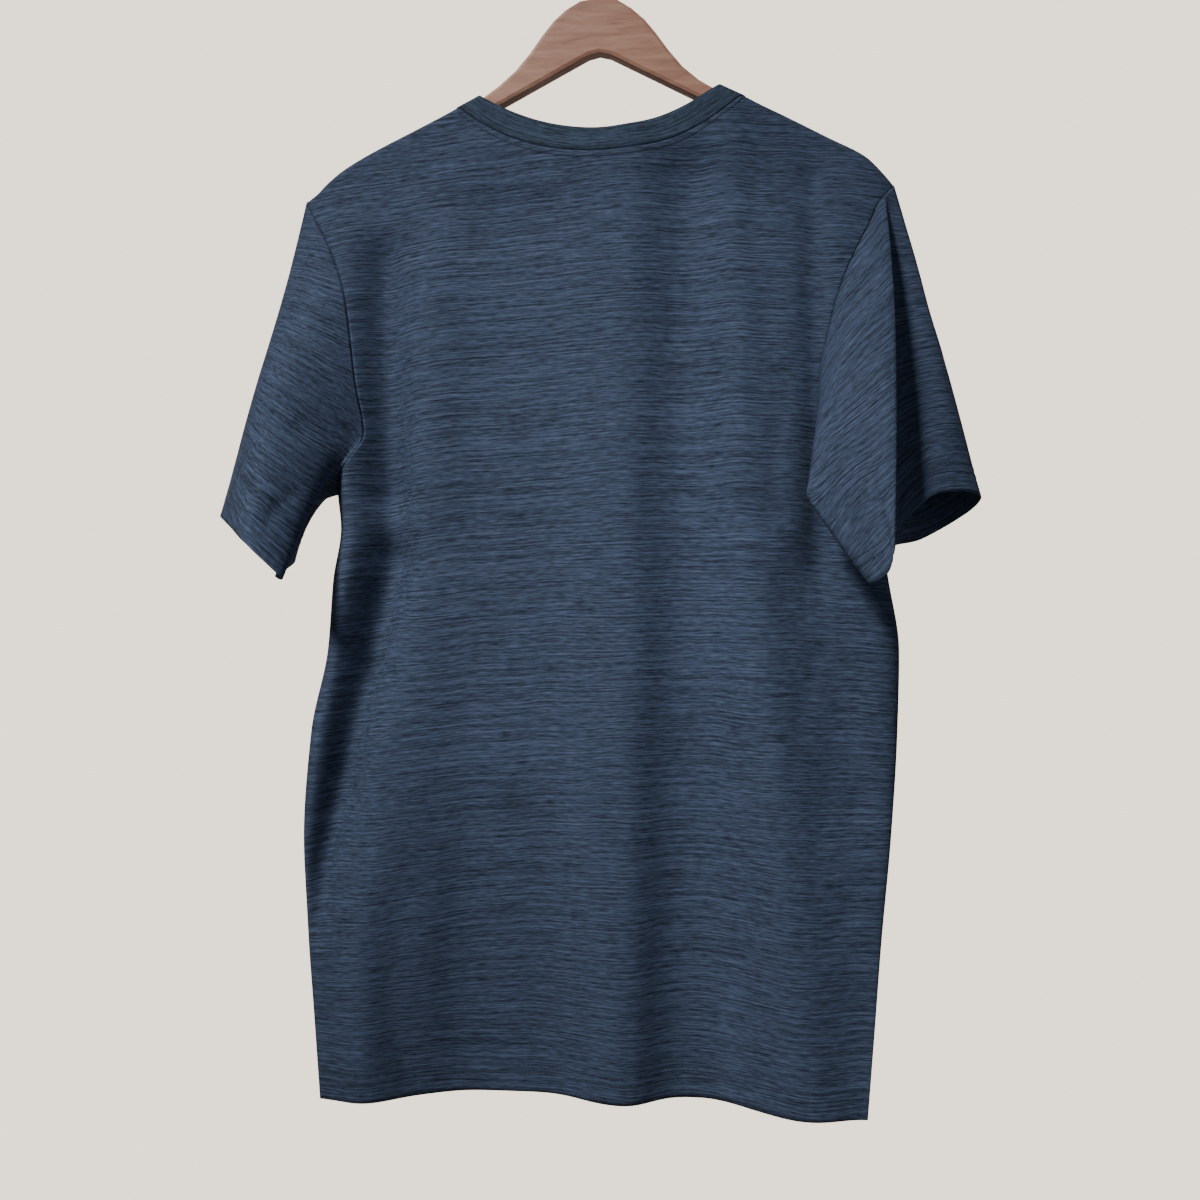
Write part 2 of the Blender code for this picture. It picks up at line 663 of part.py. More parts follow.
def hook_route():
    """The wire's middle line: up the shank, out to the right and over the top to the left."""
    radius = HOOK_INSIDE + HOOK_WIRE
    centre = HOOK_WIRE - radius
    shank = [(0, WOOD_TOP_HEIGHT - HOOK_SOCKET + 0.4 * MM), (0, WOOD_TOP_HEIGHT), (0, HOOK_NECK_HEIGHT)]
    start, end = math.radians(-52), math.radians(212)
    arc = [(radius * math.cos(a), centre + radius * math.sin(a)) for a in np.linspace(start, end, 27)]
    meet = arc[0]
    tangent = (-math.sin(start), math.cos(start))
    bend = []
    for t in np.linspace(0, 1, 8)[1:-1]:
        h = (1 + 2 * t) * (1 - t) ** 2, t * (1 - t) ** 2, t * t * (3 - 2 * t), t * t * (t - 1)
        reach = 20 * MM
        bend.append((
            h[0] * 0 + h[2] * meet[0] + h[3] * reach * tangent[0],
            h[0] * HOOK_NECK_HEIGHT + h[1] * reach + h[2] * meet[1] + h[3] * reach * tangent[1],
        ))
    return shank + bend + arc


def hook(collection, steel):
    """The wire hook, a round wire on one smooth line."""
    curve = bpy.data.curves.new("hook", "CURVE")
    curve.dimensions = "3D"
    curve.bevel_depth = HOOK_WIRE
    curve.bevel_resolution = 3
    curve.use_fill_caps = True
    route = hook_route()
    line = curve.splines.new("POLY")
    line.points.add(len(route) - 1)
    for point, (x, z) in zip(line.points, route):
        point.co = (x, 0, z, 1)
    wire = bpy.data.objects.new("hook", curve)
    collection.objects.link(wire)
    curve.materials.append(steel)
    return wire


def garment():
    """Every cut piece of the t-shirt, with the normals of its seams shared."""
    jersey = material("slate blue jersey", (0.055, 0.085, 0.14), 0.9)
    rib = material("slate blue rib", (0.045, 0.07, 0.12), 0.9)
    back = panel(("back_left", "back_right"), BACK_NECK_STRIPS, BACK_NECK_DROP, BACK_NECK_POWER)
    front = panel(("front_right", "front_left"), FRONT_NECK_STRIPS, FRONT_NECK_DROP, FRONT_NECK_POWER)
    front[-1, : SHOULDER_STRIPS + 1] = back[-1, -SHOULDER_STRIPS - 1 :][::-1]
    front[-1, -SHOULDER_STRIPS - 1 :] = back[-1, : SHOULDER_STRIPS + 1][::-1]
    underarm = ROWS_BELOW
    sleeve_left = sleeve(LEFT_SLEEVE, back[underarm:, 0], front[underarm:, -1])
    sleeve_right = sleeve(RIGHT_SLEEVE, back[underarm:, -1], front[underarm:, 0])
    neck = collar(
        back[-1, SHOULDER_STRIPS : -SHOULDER_STRIPS], front[-1, SHOULDER_STRIPS : -SHOULDER_STRIPS]
    )
    body_seams = ("sides", "last row")
    pieces = [
        Cloth("back", back, JERSEY, jersey, body_seams),
        Cloth("front", front, JERSEY, jersey, body_seams),
        Cloth("sleeve_left", sleeve_left, JERSEY, jersey, ("first row",), closed=True),
        Cloth("sleeve_right", sleeve_right, JERSEY, jersey, ("first row",), closed=True, flip=True),
        Cloth("collar", neck, RIB, rib, ("first row",), closed=True),
    ]
    share_normals(pieces)
    return pieces


def main():
    for old in list(bpy.data.objects):
        bpy.data.objects.remove(old)
    shirt = bpy.data.collections.new("t-shirt on hanger")
    cutters = bpy.data.collections.new("cutters")
    bpy.context.scene.collection.children.link(shirt)
    bpy.context.scene.collection.children.link(cutters)
    pieces = garment()
    for piece in pieces:
        wall(piece, shirt)
    body = hanger(shirt, material("lacquered beech", (0.22, 0.07, 0.045), 0.35), pieces[0].grid[-1])
    drill_socket(body, cutters)
    hook(shirt, material("plated steel wire", (0.6, 0.6, 0.6), 0.3, 1.0))


main()
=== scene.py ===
"""Looks for a short-sleeved crew-neck t-shirt on a flat wooden hanger, seen from its back.

The cloth is cut and sewn from the same pieces as the solids: back, front, two sleeves and a
neck rib. Each is laid on the solid's form at a finer step, with its folds, small creases and
seams, and becomes a thin shell. Heights in the tables are millimetres below the hook's inside.
"""

import math

import bpy
import numpy as np
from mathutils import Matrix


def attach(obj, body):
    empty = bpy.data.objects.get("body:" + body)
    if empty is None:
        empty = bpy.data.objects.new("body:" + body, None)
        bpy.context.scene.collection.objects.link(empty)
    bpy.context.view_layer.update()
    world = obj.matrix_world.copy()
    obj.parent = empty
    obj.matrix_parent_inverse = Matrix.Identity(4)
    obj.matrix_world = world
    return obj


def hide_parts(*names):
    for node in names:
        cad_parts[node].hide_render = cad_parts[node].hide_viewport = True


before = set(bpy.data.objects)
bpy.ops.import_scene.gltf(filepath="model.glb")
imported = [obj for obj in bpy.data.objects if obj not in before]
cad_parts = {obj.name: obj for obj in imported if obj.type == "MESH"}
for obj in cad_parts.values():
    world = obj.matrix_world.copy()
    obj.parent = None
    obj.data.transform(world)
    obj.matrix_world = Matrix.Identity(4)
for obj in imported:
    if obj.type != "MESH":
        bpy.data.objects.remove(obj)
bpy.ops.object.select_all(action="DESELECT")
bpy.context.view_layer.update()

MM = 0.001

# ------------------------------------------------------------------ sizes of the real garment
CLOTH_THICK = 1.0 * MM
RIB_THICK = 1.7 * MM
HEM_DEPTH = 20 * MM
TWIN_GAP = 6 * MM  # between the two rows of stitches along a hem
NECK_SEAM_DEPTH = 4.2 * MM  # from the neck seam down to its row of stitches
STITCH_STEP = 3.2 * MM
THREAD_THICK = 0.5 * MM
HEM_HEIGHT = -860 * MM
UNDERARM_HEIGHT = -428 * MM
SHOULDER_TIP_HEIGHT = -213 * MM
BACK_ROUND = 45 * MM  # how far in from a side edge the back starts to turn, and the front
FRONT_ROUND = 70 * MM
BACK_FLAT = 0.72  # share of the girth, from the middle to a side, that is flat
FRONT_FLAT = 0.6
RIDGE_DROP = 6 * MM  # height over which the cloth turns down over a hanger arm

NECK_HALF = 104 * MM
NECK_HEIGHT = -149.6 * MM
BACK_NECK_DROP = 38 * MM
FRONT_NECK_DROP = 88 * MM
BACK_NECK_POWER = 2.2
FRONT_NECK_POWER = 2.4
COLLAR_HALF = 88 * MM
COLLAR_HEIGHT = -141.5 * MM
COLLAR_BACK_DROP = 29.5 * MM
COLLAR_FRONT_DROP = 77.5 * MM
COLLAR_POWER = 1.9
COLLAR_LEAN = 0.86  # depth of the rib's free edge, as a share of its seam's

# How finely each cloth is divided
ROWS_BELOW = 112
ROWS_ARMHOLE = 84
SHOULDER_STRIPS = 36
NECK_STRIPS = 76
SLEEVE_ROWS = 70
SLEEVE_BETWEEN = 3
COLLAR_ROWS = 9
SETTLING = 12  # rounds that fit a panel's rows to its shoulders and neck

BODY_COLUMNS = ("height", "left", "right", "left_depth", "right_depth", "back", "front")
BODY = (
    (-860, -197, 186, -29, -34, 27, 34),
    (-800, -202, 191, -27, -31, 30, 35),
    (-740, -207, 196, -25, -27, 33, 35),
    (-670, -211, 203, -21, -22, 35, 34),
    (-600, -207, 208, -16, -16, 36, 33),
    (-540, -196, 210, -10, -10, 36, 31),
    (-490, -193, 203, -7, -6, 35, 30),
    (-455, -188, 198, -4, -4, 34, 29),
    (-428, -191, 197, -2, 0, 33, 28),
    (-380, -194, 196, 0, 0, 31, 26),
    (-330, -199, 197, 0, 0, 28, 23),
    (-280, -206, 200, 0, 0, 23, 19),
    (-240, -212, 205, 0, 0, 16, 17),
    (-213, -216, 208, 0, 0, 11, 14),
    (-180, -216, 208, 0, 0, 9, 12),
    (-140, -216, 208, 0, 0, 8.6, 10),
)
ARMHOLE_COLUMNS = ("height", "back_left", "back_right", "front_left", "front_right")
ARMHOLE = (
    (-428, -191, 197, -191, 197),
    (-418, -188, 178, -181, 186),
    (-405, -179, 160, -172, 177),
    (-385, -169, 154, -165, 170),
    (-350, -174, 155, -162, 164),
    (-313, -178, 162, -164, 162),
    (-286, -182, 170, -168, 165),
    (-262, -190, 180, -176, 172),
    (-240, -201, 191, -188, 184),
    (-228, -208, 196, -199, 195),
    (-213, -216, 208, -216, 208),
)
SHOULDER_COLUMNS = ("across", "left", "right")
SHOULDER = (
    (0, -86, -86),
    (70, -131, -131),
    (104, -149.6, -149.6),
    (132, -163, -163),
    (166, -179, -180),
    (188, -191, -192),
    (200, -200, -204),
    (208, -208, -214),
    (216, -214, -226),
)

# Folds: lines down the cloth, in mm. Each row is the top and bottom height, then the place
# across, the half width and how far it stands out, each at the top and at the bottom, and
# last the power of its profile: 2 is a soft bell, and more is flatter.
BACK_FOLDS = (
    (-150, -330, 0, 0, 70, 60, 12, 0, 2),
    (-240, -900, -62, -66, 44, 58, -6, -13, 4),
    (-620, -900, -66, -70, 50, 72, 0, -14, 4),
    (-200, -860, 24, 27, 14, 15, 2.5, 4, 2),
    (-210, -900, 66, 66, 22, 38, -8, -13, 2.5),
    (-560, -900, 68, 68, 36, 44, 0, -13, 2.5),
    (-150, -430, 93, 95, 15, 18, 4, 5, 2),
    (-150, -430, 106, 110, 42, 44, 4, 8, 2),
    (-480, -900, 104, 155, 26, 32, 11, 17, 2),
    (-215, -470, 151, 154, 10, 12, -4, -8, 2),
    (-600, -900, -152, -170, 18, 24, 4, 12, 2),
    (-270, -430, -156, -152, 16, 18, -12, -29, 2),
    (-483, -700, -151, -198, 18, 12, -32, -19, 2),
    (-260, -430, -146, -142, 30, 32, -3, -6, 2),
    (-478, -700, -142, -176, 30, 24, -6, -4, 2),
    (-250, -430, -184, -182, 10, 8, 2, 6, 2),
    (-478, -700, -180, -213, 8, 7, 8, 6, 2),
    (-400, -640, 170, 178, 22, 24, -5, -8, 2),
    (-190, -420, -96, -120, 26, 30, 2, 3, 2),
)
FRONT_FOLDS = (
    (-290, -900, -76, -96, 30, 34, 2, 13, 2),
    (-290, -900, -20, -26, 28, 32, -3, -12, 2),
    (-290, -900, 46, 40, 28, 36, 3, 12, 2),
    (-300, -900, 108, 116, 26, 30, -3, -11, 2),
    (-330, -620, -150, -150, 18, 20, -5, -8, 2),
    (-320, -560, 148, 152, 18, 20, -5, -6, 2),
)

# Small creases of the body: from one end (across, height) to the other, half width and how far
# out, all in mm. They are shallower than the folds and lie on top of them.
BACK_CREASES = (
    (-176, -640, -190, -860, 6, 2.6),
    (-138, -690, -132, -880, 15, -3.6),
    (-158, -250, -120, -330, 9, -1.1),
    (-150, -236, -104, -300, 8, 0.9),
    (-176, -400, -128, -440, 7, -1.3),
    (-174, -420, -138, -470, 6, 1.0),
    (-185, -520, -150, -560, 8, -1.2),
    (-186, -560, -150, -612, 7, 1.1),
    (-188, -610, -160, -668, 8, -1.0),
    (-172, -690, -140, -760, 9, 1.0),
    (-190, -780, -168, -850, 6, 1.4),
    (-150, -770, -128, -856, 8, -1.3),
    (-40, -230, -28, -420, 13, 0.9),
    (-8, -300, -14, -560, 12, -0.8),
    (24, -240, 30, -470, 9, 0.9),
    (38, -420, 34, -640, 9, -0.9),
    (12, -560, 6, -800, 12, 0.9),
    (-34, -620, -40, -850, 12, -1.0),
    (82, -176, 86, -330, 6, 1.3),
    (112, -190, 120, -330, 9, -1.2),
    (120, -250, 104, -420, 8, 0.9),
    (140, -330, 124, -450, 7, -1.0),
    (146, -440, 112, -520, 7, 1.0),
    (160, -520, 136, -640, 8, -1.2),
    (184, -610, 160, -700, 8, 1.1),
    (192, -690, 158, -760, 7, -1.2),
    (176, -730, 140, -800, 8, 1.0),
    (110, -640, 118, -850, 9, -1.0),
    (84, -700, 88, -856, 8, 1.0),
    (-100, -640, -108, -856, 9, 1.0),
)
FRONT_CREASES = (
    (-150, -260, -118, -330, 9, 1.0),
    (-132, -244, -96, -320, 8, -1.0),
    (-160, -410, -120, -460, 7, 1.2),
    (-166, -440, -132, -500, 7, -1.0),
    (150, -250, 118, -330, 9, 1.0),
    (158, -400, 120, -450, 7, -1.2),
    (164, -430, 134, -500, 7, 1.0),
    (-52, -290, -56, -520, 12, 0.9),
    (4, -270, 8, -520, 12, 0.9),
    (74, -320, 80, -600, 11, -0.9),
    (-120, -540, -128, -840, 11, 1.0),
    (-60, -600, -62, -850, 9, -0.9),
    (16, -600, 12, -850, 9, 1.0),
    (80, -640, 86, -850, 9, 1.0),
    (150, -600, 146, -840, 10, -1.1),
    (-180, -620, -150, -700, 8, 1.0),
)

# Sleeves: lines that run from the armhole, through a middle ring, to the cuff. share is the place
# on the armhole seam, from the underarm up the back to the shoulder and down the front. cut_mid
# and cut_top are the heights above the cuff, on the cut cloth, of the middle ring and the seam.
# On the left sleeve they only give its mean length, because its courses spread like a fan.
# The columns: line, share, crease (1 where it is sharp), lift, the middle ring's x, y and z,
# the cuff's x, y and z, cut_mid, cut_top.
SLEEVE_MIDDLE = 0.5  # how far down the sleeve its middle ring is
SLEEVE_PIVOT = 150 * MM  # how far across the upright line is that lifted cloth stands away from
LEFT_SLEEVE = (
    ("underarm", 0.00, 0, 6, -213, -18, -448, -220, -58, -489, 50, 80),
    ("inner ridge", 0.14, 0, 5, -196, -40, -438, -207, -85, -490, 60, 108),
    ("crest", 0.26, 0, 2, -217, -53, -398, -229, -88, -469, 76, 142),
    ("facet", 0.40, 0, 0, -236, -36, -352, -255, -48, -455, 102, 208),
    ("overarm", 0.50, 0, 0, -244, 0, -320, -281, 0, -444, 128, 240),
    ("far outer", 0.60, 0, 0, -243, 16, -342, -276, 24, -452, 112, 214),
    ("far middle", 0.76, 0, 2, -222, 22, -385, -246, 32, -467, 84, 166),
    ("far inner", 0.91, 0, 5, -207, 8, -434, -226, 2, -476, 48, 100),
)
RIGHT_SLEEVE = (
    ("underarm", 0.00, 0, 9, 202, -24, -458, 190, -50, -480, 34, 70),
    ("border", 0.10, 1, 7.5, 141, -68, -439, 183, -82, -495, 62, 92),
    ("flap", 0.24, 0, 2, 168, -62, -398, 193, -89, -488, 80, 160),
    ("crest", 0.475, 0, 1, 202, -50, -340, 197, -89, -474, 106, 210),
    ("behind crest", 0.479, 0, 0, 202, -28, -336, 201, -60, -463, 108, 214),
    ("valley", 0.484, 0, 0, 208, -12, -332, 209, -26, -456, 106, 218),
    ("near outer", 0.489, 0, 0, 222, -9, -329, 231, -22, -434, 104, 221),
    ("outer", 0.494, 0, 1, 234, -7, -325, 250, -14, -430, 106, 224),
    ("overarm", 0.50, 0, 1, 239, 0, -328, 268, 0, -432, 104, 227),
    ("far outer", 0.58, 0, 2, 234, 14, -344, 265, 20, -441, 100, 206),
    ("far middle", 0.74, 0, 2, 216, 20, -384, 232, 28, -461, 76, 160),
    ("far inner", 0.90, 0, 5, 208, 8, -430, 208, 6, -467, 38, 88),
)
# The left sleeve's courses spread like a fan: from (x, height) in mm, with the hem at an angle
# below the level, and a mean distance that sets their spacing
LEFT_FAN = (-535, -164, 46.6)
SLEEVE_FAN_REACH = 400 * MM
# Small creases of the sleeves: from (share round, share down) to the same, half width mm, out mm
LEFT_SLEEVE_CREASES = (
    (0.24, 0.40, 0.44, 0.95, 5, -1.3),
    (0.18, 0.50, 0.225, 0.86, 5, -1.3),
    (0.21, 0.62, 0.29, 0.98, 8, 1.2),
    (0.30, 0.30, 0.42, 0.62, 8, 1.0),
    (0.36, 0.14, 0.45, 0.50, 8, -1.0),
    (0.15, 0.16, 0.26, 0.42, 6, -1.4),
    (0.42, 0.70, 0.47, 1.00, 6, -0.9),
    (0.62, 0.30, 0.74, 0.85, 8, 1.2),
    (0.80, 0.35, 0.88, 0.90, 7, -1.2),
)
RIGHT_SLEEVE_CREASES = (
    (0.14, 0.55, 0.22, 0.99, 5, 1.2),
    (0.24, 0.48, 0.36, 0.96, 6, -1.2),
    (0.34, 0.20, 0.40, 0.60, 8, 0.9),
    (0.485, 0.35, 0.488, 0.98, 4, 1.2),
    (0.495, 0.30, 0.497, 0.95, 5, -0.9),
    (0.62, 0.30, 0.72, 0.85, 8, 1.2),
    (0.80, 0.35, 0.88, 0.90, 7, -1.2),
)

# The knit's courses sag from the shoulders: how far they hang below the line through BOW_TOP
BOW_TOP = 68 * MM
BOW_LEFT = 0.27  # metres of drop for each square metre of distance
BOW_RIGHT = 0.25


def table(columns, rows):
    """Each named column as an array, in metres, in rising order of the first one."""
    values = np.array(sorted(rows), float) * MM
    return {name: values[:, i] for i, name in enumerate(columns)}


BODY_TABLE = table(BODY_COLUMNS, BODY)
ARMHOLE_TABLE = table(ARMHOLE_COLUMNS, ARMHOLE)
SHOULDER_TABLE = table(SHOULDER_COLUMNS, SHOULDER)


# ------------------------------------------------------------------ the cloth's form
def smooth(knots, values, at):
    """A smooth curve through the knots that never overshoots them, read at some places."""
    step = np.diff(knots)
    slope = np.diff(values) / step
    before, after = slope[:-1], slope[1:]
    turn = before * after > 0
    inner = np.where(turn, 2 * before * after / np.where(turn, before + after, 1), 0)
    tangent = np.concatenate([slope[:1], inner, slope[-1:]])
    at = np.clip(at, knots[0], knots[-1])
    k = np.clip(np.searchsorted(knots, at) - 1, 0, len(step) - 1)
    t = (at - knots[k]) / step[k]
    return (
        values[k] * (1 + 2 * t) * (1 - t) ** 2
        + tangent[k] * step[k] * t * (1 - t) ** 2
        + values[k + 1] * t**2 * (3 - 2 * t)
        + tangent[k + 1] * step[k] * t**2 * (t - 1)
    )


def ease(value):
    """0 to 1 with a soft start and end."""
    value = np.clip(value, 0, 1)
    return value * value * (3 - 2 * value)


def shoulder_height(x):
    left = smooth(SHOULDER_TABLE["across"], SHOULDER_TABLE["left"], np.abs(x))
    right = smooth(SHOULDER_TABLE["across"], SHOULDER_TABLE["right"], np.abs(x))
    return np.where(x < 0, left, right)


def neck_height(x, drop, power):
    return NECK_HEIGHT - drop * (1 - np.clip(np.abs(x) / NECK_HALF, 0, 1) ** power)


def fold_height(folds, x, z):
    """How far the folds of one face stand out at each place."""
    out = np.zeros_like(x)
    for top, bottom, across0, across1, half0, half1, out0, out1, power in folds:
        share = np.clip((top * MM - z) / ((top - bottom) * MM), 0, 1)
        ends = ease((top * MM + 40 * MM - z) / (40 * MM)) * ease((z - bottom * MM + 60 * MM) / (60 * MM))
        across = (across0 + (across1 - across0) * share) * MM
        half = (half0 + (half1 - half0) * share) * MM
        rise = (out0 + (out1 - out0) * share) * MM
        out = out + rise * ends * np.exp(-(np.abs((x - across) / half) ** power))
    return out


def crease_height(creases, x, z):
    """How far the small creases stand out: each fades at its ends and leans a little as it goes."""
    out = np.zeros_like(x)
    for x0, z0, x1, z1, half, rise in creases:
        run = np.array([x1 - x0, z1 - z0]) * MM
        length = float(np.hypot(*run))
        along = ((x - x0 * MM) * run[0] + (z - z0 * MM) * run[1]) / length**2
        bend = 0.06 * length * np.sin(along * math.pi)
        beside = ((x - x0 * MM) * run[1] - (z - z0 * MM) * run[0]) / length - bend
        ends = ease((along + 0.15) / 0.45) * ease((1.15 - along) / 0.45)
        out = out + rise * MM * ends * np.exp(-((beside / (half * MM)) ** 2))
    return out


def body_at(name, z):
    return smooth(BODY_TABLE["height"], BODY_TABLE[name], z)


def body_point(girth, z):
    """The middle of the cloth at a girth position and height."""
    left, right = body_at("left", z), body_at("right", z)
    on_back = girth <= 1
    side = np.where(on_back, girth, 2 - girth)
    flat = np.where(on_back, BACK_FLAT, FRONT_FLAT)
    reach = np.where(on_back, BACK_ROUND, FRONT_ROUND)
    centre, half = (left + right) / 2, (right - left) / 2
    amount = np.abs(side)
    turn = np.clip((amount - flat) / (1 - flat), 0, 1) * math.pi / 2
    level = amount / flat * (half - reach)
    rounded = half - reach + reach * np.sin(turn)
    x = centre + np.sign(side) * np.where(amount < flat, level, rounded)
    depth = np.where(side < 0, body_at("left_depth", z), body_at("right_depth", z)) * (1 - np.cos(turn))
    # the folds fade out at the side seams
    window = 1 - amount**8
    out_back = body_at("back", z) * np.cos(turn) + fold_height(BACK_FOLDS, x, z) * window
    out_front = body_at("front", z) * np.cos(turn) + fold_height(FRONT_FOLDS, x, z) * window
    calm = ease((-z - 165 * MM) / (60 * MM)) * window
    out_back = out_back + crease_height(BACK_CREASES, x, z) * calm
    out_front = out_front + crease_height(FRONT_CREASES, x, z) * calm
    below = np.clip((shoulder_height(x) - z) / RIDGE_DROP, 0, 1)
    ridge = np.sqrt(1 - (1 - below) ** 2)
    y = np.where(on_back, -out_back, out_front) * ridge + depth
    return np.stack([x, y, z], axis=-1)


def girth_at(x, z, flat, reach):
    left, right = body_at("left", z), body_at("right", z)
    centre, half = (left + right) / 2, (right - left) / 2
    amount = np.clip(np.abs(x - centre), 0, half)
    over = np.clip((amount - half + reach) / reach, 0, 1)
    rounded = flat + (1 - flat) * np.arcsin(over) / (math.pi / 2)
    share = np.where(over > 0, rounded, amount / (half - reach) * flat)
    return np.sign(x - centre) * share


def seam_girth(name, z):
    """Where a side seam, and the armhole seam above it, lies round the body."""
    across = smooth(ARMHOLE_TABLE["height"], ARMHOLE_TABLE[name], z)
    edge = 1.0 if name.endswith("right") else -1.0
    on_back = name.startswith("back")
    flat, reach = (BACK_FLAT, BACK_ROUND) if on_back else (FRONT_FLAT, FRONT_ROUND)
    share = np.where(z <= UNDERARM_HEIGHT + 1e-6, edge, girth_at(across, z, flat, reach))
    return share if on_back else 2 - share


def row_shares():
    underarm = (UNDERARM_HEIGHT - HEM_HEIGHT) / (SHOULDER_TIP_HEIGHT - HEM_HEIGHT)
    below = np.linspace(0, underarm, ROWS_BELOW, endpoint=False)
    t = np.linspace(0, 1, ROWS_ARMHOLE + 1)
    above = (t + (1 - np.cos(t * math.pi)) / 2) / 2
    return np.concatenate([below, underarm + (1 - underarm) * above])


def panel(seams, middle, drop, power):
    """A body panel: its grid of points, rows from the hem up, and each point's girth position."""
    start, end = seams

    def across_share(strip_x, girth0, girth1):
        wide = np.linspace(0, 1, 400)
        x = body_point(girth0 + (girth1 - girth0) * wide, np.full_like(wide, SHOULDER_TIP_HEIGHT))[:, 0]
        order = np.argsort(x)
        return np.interp(strip_x, x[order], wide[order])

    tip = np.array([SHOULDER_TIP_HEIGHT])
    girth0, girth1 = seam_girth(start, tip)[0], seam_girth(end, tip)[0]
    sign = 1 if start == "back_left" else -1
    shoulder = np.linspace(0, 1, SHOULDER_STRIPS, endpoint=False)
    neck_x = NECK_HALF * np.sin(np.linspace(-1, 1, NECK_STRIPS + 1) * math.pi / 2)
    neck_share = across_share(sign * neck_x, girth0, girth1)
    share = np.concatenate(
        [neck_share[0] * shoulder, neck_share, (1 - (1 - neck_share[-1]) * shoulder)[::-1]]
    )
    even = np.linspace(0, 1, len(share))
    rows = row_shares()[:, None]
    # The strips are even at the hem, and gather towards the neck points only near the top.
    gathered = ease((rows - 0.35) / 0.5)
    share = even[None, :] * (1 - gathered) + share[None, :] * gathered
    seam_z = HEM_HEIGHT + (SHOULDER_TIP_HEIGHT - HEM_HEIGHT) * rows
    # Each strip leans with its seam, the less the nearer it is to the middle.
    lean = 2 * share - 1
    drawn = np.where(
        lean < 0, 1 + seam_girth(start, seam_z) - middle, 1 - seam_girth(end, seam_z) + middle
    )
    girth = middle + lean * (1 - lean**2 * drawn)
    z = seam_z + 0 * share
    # The rows are level up to the armpits, and bend to the shoulders and the neck above them.
    bent = np.clip((rows - rows[ROWS_BELOW]) / (1 - rows[ROWS_BELOW]), 0, 1) ** 2
    for _ in range(SETTLING):
        x = body_point(girth, z)[..., 0]
        neck = neck_height(x, drop, power)
        top = np.where(np.abs(x) < NECK_HALF, np.minimum(neck, shoulder_height(x)), shoulder_height(x))
        top[:, 0] = top[:, -1] = SHOULDER_TIP_HEIGHT
        z = seam_z + (top[-1:, :] - SHOULDER_TIP_HEIGHT) * bent
    return body_point(girth, z), girth


def body_cut(grid, girth, middle):
    """Each point's place on the cut cloth: round the body from the middle, and up from the hem."""
    reach = np.linspace(girth.min(), girth.max(), 260)
    heights = np.linspace(grid[..., 2].min(), grid[..., 2].max(), 90)
    spread = body_point(reach[None, :] + 0 * heights[:, None], heights[:, None] + 0 * reach[None, :])
    step = np.linalg.norm(np.diff(spread, axis=1), axis=-1)
    length = np.concatenate([np.zeros((len(heights), 1)), np.cumsum(step, axis=1)], axis=1)
    zero = np.array([np.interp(middle, reach, row) for row in length])
    length -= zero[:, None]
    across = (girth - reach[0]) / (reach[1] - reach[0])
    up = (grid[..., 2] - heights[0]) / (heights[1] - heights[0])
    i = np.clip(up.astype(int), 0, len(heights) - 2)
    j = np.clip(across.astype(int), 0, len(reach) - 2)
    s, t = up - i, across - j
    u = (length[i, j] * (1 - s) + length[i + 1, j] * s) * (1 - t)
    u = u + (length[i, j + 1] * (1 - s) + length[i + 1, j + 1] * s) * t
    away = grid[..., 0] - BOW_TOP
    bow = np.where(away < 0, BOW_LEFT, BOW_RIGHT) * away**2
    bow = bow * ease((grid[..., 2] - HEM_HEIGHT - 28 * MM) / (90 * MM))
    return np.stack([u, grid[..., 2] - HEM_HEIGHT + bow], axis=-1)


def measured(line):
    return np.concatenate([[0], np.cumsum(np.linalg.norm(np.diff(line, axis=0), axis=1))])


def ring(knots, corners, places):
    """A closed smooth curve through the corners at their shares, read at some places."""
    count = len(corners)
    points = np.zeros((len(places), 3))
    for k in range(count):
        before, here, there, after = (corners[(k + step) % count] for step in (-1, 0, 1, 2))
        d0, d1, d2 = (math.sqrt(np.linalg.norm(b - a)) for a, b in
                      ((before, here), (here, there), (there, after)))
        leave = ((here - before) / d0 - (there - before) / (d0 + d1) + (there - here) / d1) * d1
        arrive = ((there - here) / d1 - (after - here) / (d1 + d2) + (after - there) / d2) * d1
        inside = (places >= knots[k]) & (places < knots[k + 1])
        t = ((places[inside] - knots[k]) / (knots[k + 1] - knots[k]))[:, None]
        points[inside] = (
            here * (1 + 2 * t) * (1 - t) ** 2 + leave * t * (1 - t) ** 2
            + there * t**2 * (3 - 2 * t) + arrive * t**2 * (t - 1)
        )
    return points


